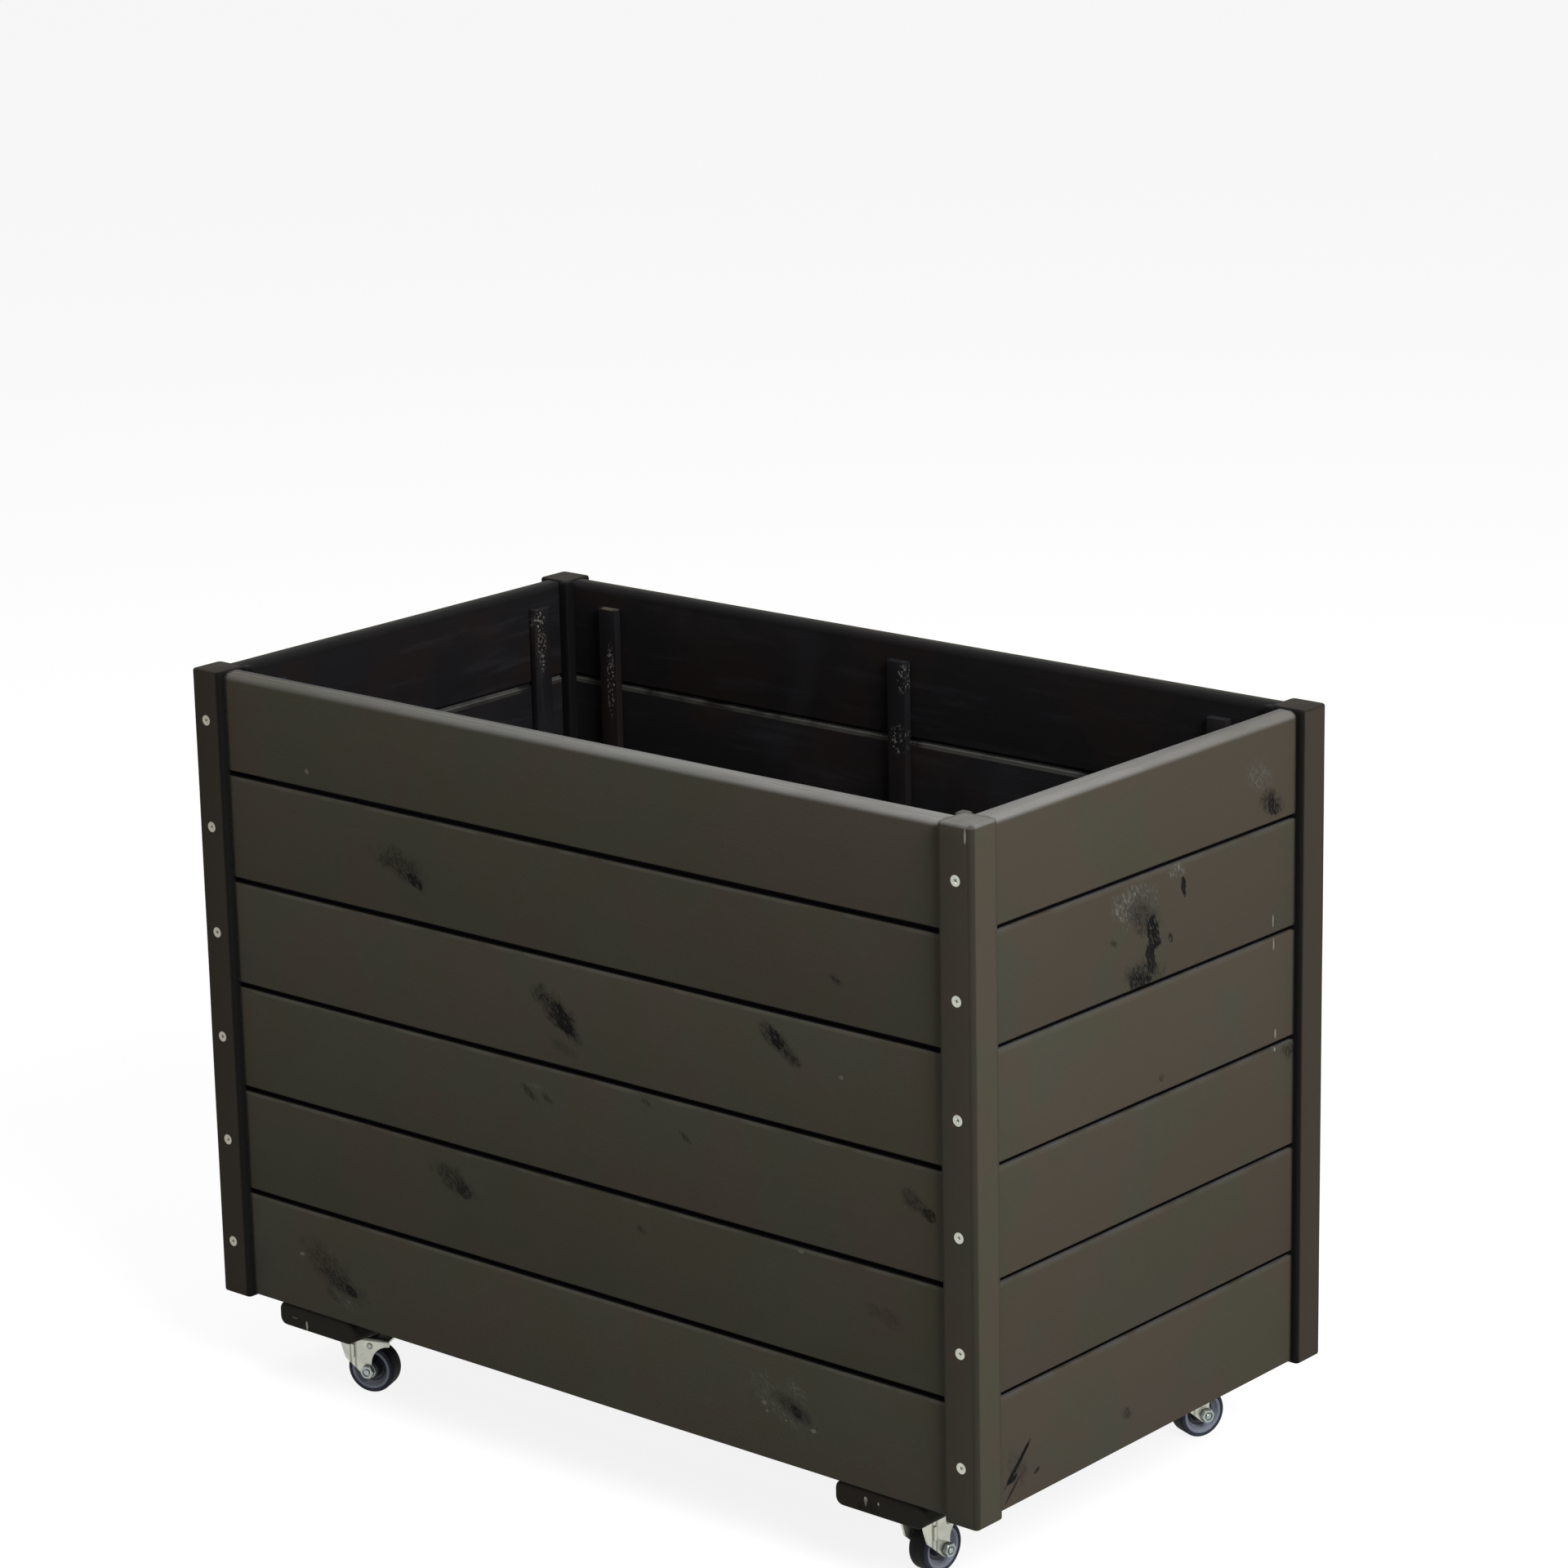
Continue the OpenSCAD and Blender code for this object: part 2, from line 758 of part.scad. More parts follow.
// Grey wheel: hub, web and rim in one turned section
module caster_wheel(c) {
    hub_w = 2 * (cheek_in - cheek_play);
    bore = axle_d / 2 + running_play;
    rim_w = wheel_w - 2 * rim_side;
    color(GREY_WHEEL)
        at_axle(c)
            rotate_extrude()
                polygon([
                    [bore, -hub_w / 2], [hub_r, -hub_w / 2], [hub_r + 1, -web_t / 2],
                    [rim_in_r - 1, -web_t / 2], [rim_in_r, -rim_w / 2], [rim_r, -rim_w / 2],
                    [rim_r, rim_w / 2], [rim_in_r, rim_w / 2], [rim_in_r - 1, web_t / 2],
                    [hub_r + 1, web_t / 2], [hub_r, hub_w / 2], [bore, hub_w / 2]
                ]);
}

module caster_tyre(c) {
    r = wheel_d / 2;
    h = wheel_w / 2;
    color(RUBBER)
        at_axle(c)
            rotate_extrude()
                polygon(concat(
                    [[rim_r, -h], [r - tyre_round, -h]],
                    quarter(r - tyre_round, -h + tyre_round, tyre_round, 270),
                    quarter(r - tyre_round, h - tyre_round, tyre_round, 0),
                    [[rim_r, h]]
                ));
}

// ---------- the parts ----------

for (c = CORNERS)
    post(c);

for (w = concat(LONG_WALLS, SHORT_WALLS), k = [1 : rows])
    wall_board(w, k);

battens(LONG_WALLS);  // long_wall_battens
battens(SHORT_WALLS);  // short_wall_battens
floor_boards();
bearer(-1);  // bearer_left
bearer(1);  // bearer_right
post_screws("front");  // front_post_screws
post_screws("back");  // back_post_screws
batten_screws();
bearer_screws();
caster_screws();
caster_king_pins();
caster_balls();

for (c = CORNERS) {
    caster_plate(c);
    caster_fork(c);
    caster_axle(c);
    caster_wheel(c);
    caster_tyre(c);
}
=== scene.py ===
"""Rolling planter: dark stained tongue-and-groove boards between four corner posts,
two bearers and four swivel casters. Metres; X along the long side, -Y front, Z up."""

from math import asin, atan2, cos, degrees, pi, radians, sin, tan

import bmesh
import bpy
from bpy.props import FloatProperty, FloatVectorProperty, IntProperty, PointerProperty
from mathutils import Matrix, Vector


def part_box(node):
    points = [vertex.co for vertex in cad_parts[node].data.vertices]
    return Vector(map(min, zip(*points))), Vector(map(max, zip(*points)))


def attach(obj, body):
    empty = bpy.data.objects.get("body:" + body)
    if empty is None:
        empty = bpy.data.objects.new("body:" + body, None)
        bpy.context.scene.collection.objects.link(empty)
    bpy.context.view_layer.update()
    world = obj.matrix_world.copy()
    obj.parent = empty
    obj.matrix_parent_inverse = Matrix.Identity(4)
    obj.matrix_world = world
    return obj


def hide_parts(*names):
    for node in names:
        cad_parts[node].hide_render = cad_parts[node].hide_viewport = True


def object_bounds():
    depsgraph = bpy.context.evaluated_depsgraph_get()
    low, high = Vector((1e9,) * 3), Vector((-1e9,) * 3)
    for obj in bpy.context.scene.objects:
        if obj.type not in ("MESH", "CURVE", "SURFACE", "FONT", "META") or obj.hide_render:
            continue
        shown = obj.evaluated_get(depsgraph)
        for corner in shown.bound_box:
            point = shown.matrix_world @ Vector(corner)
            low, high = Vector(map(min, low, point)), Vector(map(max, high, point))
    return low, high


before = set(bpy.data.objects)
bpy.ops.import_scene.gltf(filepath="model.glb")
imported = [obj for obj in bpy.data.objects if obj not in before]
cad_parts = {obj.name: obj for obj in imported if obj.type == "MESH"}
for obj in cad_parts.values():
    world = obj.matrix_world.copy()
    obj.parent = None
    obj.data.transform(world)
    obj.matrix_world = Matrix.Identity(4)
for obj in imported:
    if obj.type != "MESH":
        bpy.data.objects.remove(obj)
cad_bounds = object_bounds()

bl_info = {
    "name": "Rolling planter",
    "version": (1, 0, 0),
    "blender": (4, 5, 0),
    "location": "View3D > Sidebar > Planter",
    "description": "Builds a stained wooden planter on casters around its packed model",
    "category": "Add Mesh",
}

MM = 0.001
LONG_WALLS = ("front", "back")
SHORT_WALLS = ("left", "right")
CORNERS = ("front_left", "front_right", "back_left", "back_right")
OUTWARDS = {
    "front": Vector((0, -1, 0)), "back": Vector((0, 1, 0)),
    "left": Vector((-1, 0, 0)), "right": Vector((1, 0, 0)),
}
RIGHT, UP, DOWN = Vector((1, 0, 0)), Vector((0, 0, 1)), Vector((0, 0, -1))
# The rows of boards from the top down, of which a box has twelve at most
BOARDS = tuple(k for k in range(1, 13) if f"front_board_{k}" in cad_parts)
# Play round a shank or pin in its hole
HOLE_PLAY = 0.05 * MM
# How far a screw's head lies inside its solid's box, and how far its point stops short of it
HEAD_INSET, POINT_SHORT = 0.02 * MM, 0.1 * MM
# Diameter and height of the round heads of the caster plates' screws
ROUND_HEAD = (8 * MM, 2.4 * MM)
# Radius of the rib in a cheek, and how far above the boss it starts
RIB_R, RIB_ABOVE = 1.7 * MM, 6 * MM
# Place of the dimple in a cheek: from the king pin towards the axle, and down from the crown
DIMPLE_ALONG, DIMPLE_DOWN = 12 * MM, 6.2 * MM


# ---------- sizes and colours a user would change ----------

def length(name, text, default, low=0.0):
    """A length for the sidebar; its default and lowest value are in mm"""
    return FloatProperty(name=name, description=text, default=default * MM, min=low * MM,
                         subtype="DISTANCE", unit="LENGTH", precision=4)


def colour(name, text, default):
    """A linear colour for the sidebar"""
    return FloatVectorProperty(name=name, description=text, default=default, size=3,
                               min=0.0, max=1.0, subtype="COLOR")


class PLANTER_PG_wood(bpy.types.PropertyGroup):
    tongue: length("Tongue", "Thickness of the boards' tongues", 6)
    tongue_high: length("Tongue height", "Height of the boards' tongues", 8)
    play: length("Play", "Play on each side of a tongue in its groove", 0.3)
    shadow_high: length("Shadow gap", "Height of the gap between boards, outside", 3.5)
    shadow_deep: length("Shadow depth", "Depth of the gap between boards, outside", 6)
    inner_gap: length("Inner gap", "Height and depth of the gap between boards, inside", 3)
    edge_round: length("Edge rounding", "Rounding of the boards' long edges", 1.5)
    rim_round: length("Rim rounding", "Rounding of the top edge of the walls", 6)
    housed: length("Housed ends", "Length of the board ends inside the posts", 8)
    housed_thick: length("Housed thickness", "Thickness of the board ends inside the posts", 10)
    post_face: length("Post face", "Width of a post's outer face", 31)
    post_proud: length("Post proud", "How far the posts stand out from the boards", 6)
    post_lip: length("Post lip", "How far a post's inner corner stands out inside", 9)
    post_round: length("Post rounding", "Rounding of the posts' outer corners", 4)
    post_edge: length("Post edge", "Rounding of the posts' edges beside the boards", 4)
    post_end: length("Post end", "Worn rounding of the posts' ends", 4)
    bearer_round: length("Bearer rounding", "Rounding of the bearers' long edges", 7)
    wave: length("Waviness", "How far the planed faces wander", 0.25)
    spacing: length("Spacing", "Distance between the cross sections of a board", 12, 2)


class PLANTER_PG_screws(bpy.types.PropertyGroup):
    post_head: length("Post screw head", "Head diameter of the screws in the posts", 8.5)
    post_shank: length("Post screw", "Diameter of the screws in the posts", 4.5)
    wood_head: length("Wood screw head", "Head diameter of the screws in the wood", 7)
    wood_shank: length("Wood screw", "Diameter of the screws in the wood", 3.5)
    ring: length("Countersink ring", "Open ring round the heads in the posts", 0.6)
    seed: IntProperty(name="Seed", description="Seed for how the screw slots are turned",
                      default=4, min=0)


class PLANTER_PG_casters(bpy.types.PropertyGroup):
    crown_front: length("Crown, front", "Reach of a fork's crown away from the axle", 14)
    crown_back: length("Crown, back", "Reach of a fork's crown over the wheel", 29)
    sheet: length("Sheet", "Thickness of the forks' sheet", 2)
    bend: length("Bend", "Outer radius of the forks' bends", 3)
    tip: length("Tip", "Height of a cheek at the ends of the crown", 5.5)
    knee_in: length("Knee", "Distance of the cheek's knee from the front of the crown", 4)
    rib_place: length("Rib", "Place of a cheek's rib, from the king pin to the axle", -3, -20)
    knee_high: length("Knee height", "Height of the cheek's knee over the axle", 9.5)
    race: length("Race", "Radius of the raised race on a crown", 11.5)
    race_high: length("Race height", "Height of the raised race on a crown", 2.2)
    king: length("King pin", "Diameter of a king pin", 8)
    trail: length("Trail", "Distance from a swivel axis to its axle", 10)
    wheel_wide: length("Wheel width", "Width of a tyre", 18)
    hub_proud: length("Hub", "How far a hub stands out from the tyre", 0.9)
    cheek_play: length("Cheek play", "Play between a hub and a cheek", 0.5)
    boss: length("Boss", "Radius of a cheek round the axle", 6)
    tyre: length("Tyre", "Thickness of the tyre", 3.2)
    hub: length("Hub radius", "Radius of the wheel's hub", 7)


class PLANTER_PG_finish(bpy.types.PropertyGroup):
    olive: colour("Stain, olive", "Main colour of the stained wood", (0.067, 0.0635, 0.0425))
    russet: colour("Stain, russet", "Colour where the stain is thin and warm",
                   (0.076, 0.060, 0.0455))
    slate: colour("Stain, slate", "Colour where the stain is cool", (0.066, 0.0645, 0.047))
    inside: colour("Stain inside", "Colour of the stained wood inside", (0.0085, 0.0080, 0.0090))
    # The rubbed rim colour is partly worn grey stain and partly a painted sheen of the light on the
    # rims.
    rubbed_sheen: colour("Rubbed rim", "Colour of the rims, where the stain is rubbed grey",
                   (0.240, 0.240, 0.232))
    # The knot colour is also the near black of the painted shade at board ends, in gaps, on
    # darkened tops and on screw heads.
    knot_and_shade: colour("Knot", "Colour of the knots", (0.005, 0.005, 0.005))
    bare: colour("Bare wood", "Colour where the stain is chipped", (0.36, 0.33, 0.27))
    zinc: colour("Zinc", "Colour of the zinc plating", (0.54, 0.55, 0.475))
    steel: colour("Dark steel", "Colour of the blackened screws and balls", (0.045, 0.045, 0.05))
    wheel: colour("Wheel", "Colour of the wheels' rims", (0.290, 0.315, 0.385))
    # The dish colour is darkened as painted shade in the wheels' deep dishes.
    shaded_dish: colour("Dish", "Colour of the wheels' hubs and webs", (0.024, 0.028, 0.038))
    rubber: colour("Rubber", "Colour of the tyres' treads", (0.0065, 0.0065, 0.0065))
    # The shoulder colour is a painted sheen of the light on the tyres' rounded shoulders.
    shoulder: colour("Tyre shoulder", "Colour of the worn sides of the tyres",
                     (0.046, 0.051, 0.070))
    bolt: colour("Bolt", "Colour of the darker plating of the axle bolts", (0.36, 0.40, 0.385))


def group(kind, name, text):
    """A group of settings"""
    return PointerProperty(type=kind, name=name, description=text)


class PLANTER_PG_settings(bpy.types.PropertyGroup):
    wood: group(PLANTER_PG_wood, "Wood", "Sizes of the wooden pieces")
    screws: group(PLANTER_PG_screws, "Screws", "Sizes of the screws")
    casters: group(PLANTER_PG_casters, "Casters", "Sizes of the casters")
    finish: group(PLANTER_PG_finish, "Finish", "Colours")


def settings():
    """The planter's settings in this scene"""
    return bpy.context.scene.planter


# ---------- node trees ----------

def operator(operation, swapped=False):
    """A method of Field that adds a math node"""

    def method(self, other=0.0):
        first, second = (other, self) if swapped else (self, other)
        return self.graph.node("ShaderNodeMath", {"operation": operation}, {0: first, 1: second})

    return method


class Field:
    """An output socket that Python expressions can work on; each operator adds its node"""

    def __init__(self, graph, socket):
        self.graph = graph
        self.socket = socket

    __add__ = operator("ADD")
    __radd__ = operator("ADD", swapped=True)
    __sub__ = operator("SUBTRACT")
    __rsub__ = operator("SUBTRACT", swapped=True)
    __mul__ = operator("MULTIPLY")
    __rmul__ = operator("MULTIPLY", swapped=True)
    __truediv__ = operator("DIVIDE")
    __pow__ = operator("POWER")
    __abs__ = operator("ABSOLUTE")
    least = operator("MINIMUM")
    most = operator("MAXIMUM")

    def fade(self, low, high):
        """0 at low, 1 at high and smooth between; low may be the larger"""
        if low < high:
            return self.graph.node("ShaderNodeMapRange", {"interpolation_type": "SMOOTHSTEP"},
                                   {"Value": self, "From Min": low, "From Max": high})
        return 1 - self.fade(high, low)


class Graph:
    """A node tree, and one method that adds any node"""

    def __init__(self, tree):
        self.tree = tree

    def node(self, kind, settings=None, inputs=None, out=0):
        """Adds a node: its settings, then its sockets; gives back the outputs asked for"""
        node = self.tree.nodes.new(kind)
        for key, value in (settings or {}).items():
            setattr(node, key, value)
        for key, value in (inputs or {}).items():
            if isinstance(value, Field):
                self.tree.links.new(value.socket, node.inputs[key])
            else:
                node.inputs[key].default_value = value
        if isinstance(out, tuple):
            return tuple(Field(self, node.outputs[name]) for name in out)
        return Field(self, node.outputs[out]) if len(node.outputs) else node

    def split(self, vector):
        return self.node("ShaderNodeSeparateXYZ", None, {0: vector}, ("X", "Y", "Z"))

    def vector(self, x, y, z):
        return self.node("ShaderNodeCombineXYZ", None, {"X": x, "Y": y, "Z": z})

    def vector_math(self, operation, inputs):
        return self.node("ShaderNodeVectorMath", {"operation": operation}, inputs)

    def noise(self, place, scale=1.0, detail=2.0, roughness=0.5, distortion=0.0):
        return self.node("ShaderNodeTexNoise", {"noise_dimensions": "3D"}, {
            "Vector": place, "Scale": scale, "Detail": detail,
            "Roughness": roughness, "Distortion": distortion})

    def mix(self, factor, first, second):
        """Colour between two colours"""
        return self.node("ShaderNodeMix", {"data_type": "RGBA"},
                         {0: factor, 6: rgba(first), 7: rgba(second)}, 2)


def rgba(value):
    """A colour with its alpha, or a field as it is"""
    return value if isinstance(value, Field) else (*tuple(value)[:3], 1.0)


def emptied(owner):
    """The node tree of a new material or world, cleared"""
    owner.use_nodes = True
    owner.node_tree.nodes.clear()
    return Graph(owner.node_tree)


def shader(name, inputs, build):
    """A material whose varying inputs are made by build(graph, object coordinates)"""
    material = bpy.data.materials.new(name)
    graph = emptied(material)
    made = build(graph, graph.node("ShaderNodeTexCoord", None, None, "Object"))
    surface = graph.node("ShaderNodeBsdfPrincipled", None, {**inputs, **made})
    graph.node("ShaderNodeOutputMaterial", None, {"Surface": surface})
    return material


def bumps(graph, height, distance, strength):
    return graph.node("ShaderNodeBump", None, {
        "Height": height, "Distance": distance, "Strength": strength})


# ---------- materials ----------

# Marks on a face, in mm: kind, middle across, middle up, half width, half height, strength. The
# middle across is X on the long walls and Y on the short ones. A smudge is dark grime in strokes,
# a halo the paler grime round it, a core the black middle of a knot and a slit a black crack.
# Specks and chips show bare wood, and flecks are a spray of fine pale dots.
MARKS = {
    "front_board_1": (("speck", -270, 529, 2.5, 2, 0.7),),
    "front_board_2": (("smudge", -171, 470, 26, 14, 0.65), ("core", -157, 461, 7, 6, 0.95),
                      ("smudge", 262, 461, 6, 4, 0.7)),
    "front_board_3": (("smudge", -11, 383, 16, 20, 0.95), ("core", -5, 378, 8, 12, 1.0),
                      ("smudge", -6, 357, 12, 7, 0.3), ("smudge", 206, 404, 12, 13, 0.95),
                      ("core", 205, 406, 6, 8, 0.9), ("smudge", 219, 394, 6, 6, 0.6),
                      ("speck", 265, 389, 2.5, 2, 0.5)),
    "front_board_4": (("smudge", -42, 313, 6, 7, 0.6), ("smudge", -25, 314, 5, 5, 0.6),
                      ("halo", -33, 319, 10, 5, 0.15), ("smudge", 77, 331, 4, 3, 0.5),
                      ("smudge", 115, 311, 4, 5, 0.7), ("smudge", 330, 311, 11, 10, 0.6),
                      ("core", 345, 302, 6, 5, 0.75)),
    "front_board_5": (("smudge", -127, 226, 19, 14, 0.7), ("core", -117, 219, 8, 7, 0.7),
                      ("smudge", 68, 229, 4, 3, 0.5), ("speck", 225, 248, 3, 1.5, 0.5),
                      ("smudge", 302, 217, 16, 8, 0.3)),
    "front_board_6": (("smudge", -266, 117, 25, 22, 0.55), ("smudge", -262, 111, 14, 10, 0.6),
                      ("core", -246, 105, 6, 5, 0.9), ("smudge", -267, 97, 6, 5, 0.7),
                      ("halo", -255, 96, 16, 8, 0.3), ("speck", -301, 125, 3, 1.5, 0.7),
                      ("halo", 206, 124, 26, 20, 0.35), ("smudge", 214, 123, 15, 12, 0.7),
                      ("core", 216, 122, 5, 5, 0.9), ("halo", 217, 140, 8, 7, 0.45),
                      ("speck", 186, 121, 2.5, 1.5, 0.7), ("speck", 189, 115, 2, 1.5, 0.6),
                      ("speck", 207, 112, 2, 1.5, 0.6), ("speck", 233, 110, 2.5, 1.8, 0.8)),
    "right_board_1": (("smudge", 151, 531, 14, 11, 0.85), ("core", 154, 528, 6, 7, 0.7),
                      ("halo", 135, 556, 16, 12, 0.25)),
    "right_board_2": (("halo", -18, 491, 27, 17, 0.8), ("smudge", -10, 484, 20, 18, 0.8),
                      ("core", 4, 466, 8, 14, 1.0), ("core", 1, 447, 6, 13, 0.95),
                      ("smudge", -9, 438, 22, 11, 1.0), ("core", -12, 433, 13, 6, 0.7),
                      ("core", 25, 458, 2.5, 4, 0.8), ("smudge", -44, 470, 3, 4, 0.7),
                      ("halo", 33, 507, 10, 6, 0.8), ("core", 41, 493, 3.5, 8, 0.95),
                      ("chip", 155, 439, 0.9, 7, 0.45)),
    "right_board_3": (("smudge", 14, 353, 3, 3, 0.6), ("chip", 156.3, 421, 0.9, 5, 0.4),
                      ("chip", 159.5, 349, 1.1, 4, 0.5)),
    "right_board_4": (("smudge", 176, 335, 10, 12, 0.6), ("chip", 158.6, 337, 1.3, 2, 0.5)),
    "right_board_6": (("slit", -161, 107, 3.6, 16, 1.0), ("slit", -168, 98, 7, 3.5, 1.0),
                      ("slit", -166, 90, 1.8, 9, 0.8), ("smudge", -160, 103, 11, 15, 0.35),
                      ("slit", -138, 95, 3, 2.4, 0.8),
                      ("smudge", -28, 104, 6, 6, 0.7)),
    "back_board_2": (("smudge", 120, 470, 20, 15, 0.7), ("core", 132, 462, 8, 7, 0.9)),
    "back_board_3": (("smudge", -230, 385, 16, 16, 0.8), ("core", -222, 378, 6, 7, 0.9)),
    "back_board_5": (("smudge", 30, 218, 20, 15, 0.7), ("core", 40, 212, 8, 8, 0.8)),
    "back_board_6": (("smudge", 285, 120, 22, 18, 0.7), ("core", 296, 110, 8, 8, 0.9)),
    "left_board_2": (("smudge", 60, 455, 18, 15, 0.8), ("core", 68, 448, 7, 8, 0.9)),
    "left_board_4": (("smudge", -90, 296, 20, 16, 0.8), ("core", -82, 290, 8, 8, 0.9)),
    "left_board_6": (("smudge", 30, 118, 16, 15, 0.7), ("core", 38, 110, 7, 7, 0.8)),
    "bearer_left": (("chip", -302, 62, 1.2, 4, 0.9), ("chip", -316, 66, 4, 0.8, 0.3)),
    "bearer_right": (("chip", 280, 68, 1.6, 4, 0.9), ("chip", 292, 68, 1.6, 2.5, 0.8),
                     ("smudge", 280, 63, 14, 5, 0.8)),
    "post_front_right": (("chip", 384.5, 589, 0.8, 6, 0.8),),
    "long_wall_battens": (("flecks", -309, 518, 5, 34, 0.6), ("flecks", 6, 566, 5, 14, 0.6),
                          ("flecks", 2, 515, 9, 14, 0.6), ("speck", -312, 578.6, 9, 0.8, 0.35)),
    "short_wall_battens": (("flecks", 148, 570, 7, 10, 0.6), ("flecks", 150, 545, 6, 24, 0.5)),
}

# How much the tops of the walls and posts are rubbed grey with a painted sheen, or darkened with
# painted shade where it is negative
TOP_SHEEN_AND_SHADE = {"front": 1.0, "right": 0.86, "back": -0.6, "left": -0.6, "front_right": 0.55,
        "front_left": -0.5, "back_left": -0.5, "back_right": -0.5}
# Tone of the posts' stain, and how much more of it is russet
POST_TONE = {"front_left": (0.66, 0.22), "front_right": (1.04, 0.04), "back_left": (0.62, 0.0),
             "back_right": (0.68, 0.35)}
# How far the marks of a kind follow the slope of their strokes
LEAN = {"smudge": 1.0, "halo": 1.0, "core": 0.5, "slit": -2.6}
SOOT = (0.0028, 0.0026, 0.0026)
FLECK = (0.22, 0.22, 0.205)
PALE_GRIME, PALE_STROKE = (0.10, 0.105, 0.093), (0.165, 0.175, 0.15)
UMBER = (0.014, 0.009, 0.008)
# Colours of the lower edges and inner steps of the boards: lightened by wear and by a painted
# highlight where the light catches them
WORN_EDGE_HIGHLIGHT, WORN_STEP_HIGHLIGHT = (0.10, 0.098, 0.082), (0.075, 0.075, 0.072)
# Yellowed passivation, the near black painted shade on the forks, and dust
YELLOWED, FORK_SHADE, DUST = (0.66, 0.66, 0.50), (0.02, 0.022, 0.02), (0.16, 0.15, 0.13)


def marked(graph, base, place, u, v, through, marks, turn, outer):
    """Paints marks over the colour base and gives back the new colour and how deep the marks go.
    u and v run across and up the face, through runs through it and turn slopes the strokes"""
    finish = settings().finish
    leaning = graph.vector((u + v * tan(turn * 0.8)) * 2.6, through, v)
    strokes = graph.noise(leaning, 235, 2.5, 0.6, 0.25)
    wobble = graph.noise(place, 90, 3, 0.6)
    fine = graph.noise(place, 480, 2, 0.6)
    deep = 0.0
    for kind, mu, mv, wide, high, strength in marks:
        rise = v - mv * MM
        du = (u - mu * MM + rise * (LEAN.get(kind, 0.0) * tan(turn))) * (1 / (wide * MM))
        dv = rise * (1 / (high * MM))
        far = (du * du + dv * dv) ** 0.5
        if kind in ("speck", "chip"):
            spot = (far + (wobble - 0.5) * 2.2).fade(1.0, 0.75)
            bare = Vector(finish.bare) * (1.0 if kind == "chip" else 0.45)
            base = graph.mix(spot * strength, base, bare)
            continue
        if kind == "flecks":
            spot = far.fade(1.1, 0.6) * fine.fade(0.55, 0.62)
            base = graph.mix(spot * strength, base, FLECK)
            continue
        soft = (far + (wobble - 0.5) * 1.5).fade(1.25, 0.35) * outer
        if kind == "slit":
            soft = soft.fade(0.1, 0.5) * strength
            base = graph.mix(soft, base, SOOT)
            deep = soft + deep
        elif kind == "core":
            soft = soft.fade(0.10, 0.45) * strokes.fade(0.34, 0.46) * strength
            base = graph.mix(soft, base, SOOT)
            deep = soft + deep
        elif kind == "halo":
            light, dark = strokes.fade(0.53, 0.60), strokes.fade(0.43, 0.38)
            base = graph.mix(soft * 0.3 * strength, base, PALE_GRIME)
            base = graph.mix(soft * light * strength, base, PALE_STROKE)
            base = graph.mix(soft * dark * strength * 0.6, base, finish.knot_and_shade)
        else:
            base = graph.mix(soft * 0.5 * strength, base, Vector(finish.slate) * 0.25)
            soft = soft * strokes.fade(0.45, 0.54) * 0.9 * strength
            base = graph.mix(soft, base, SOOT)
            deep = soft * 0.6 + deep
    return base, deep


def nowhere(x, y, z):
    """The outside mask of pieces that are all inside the box"""
    return z * 0.0


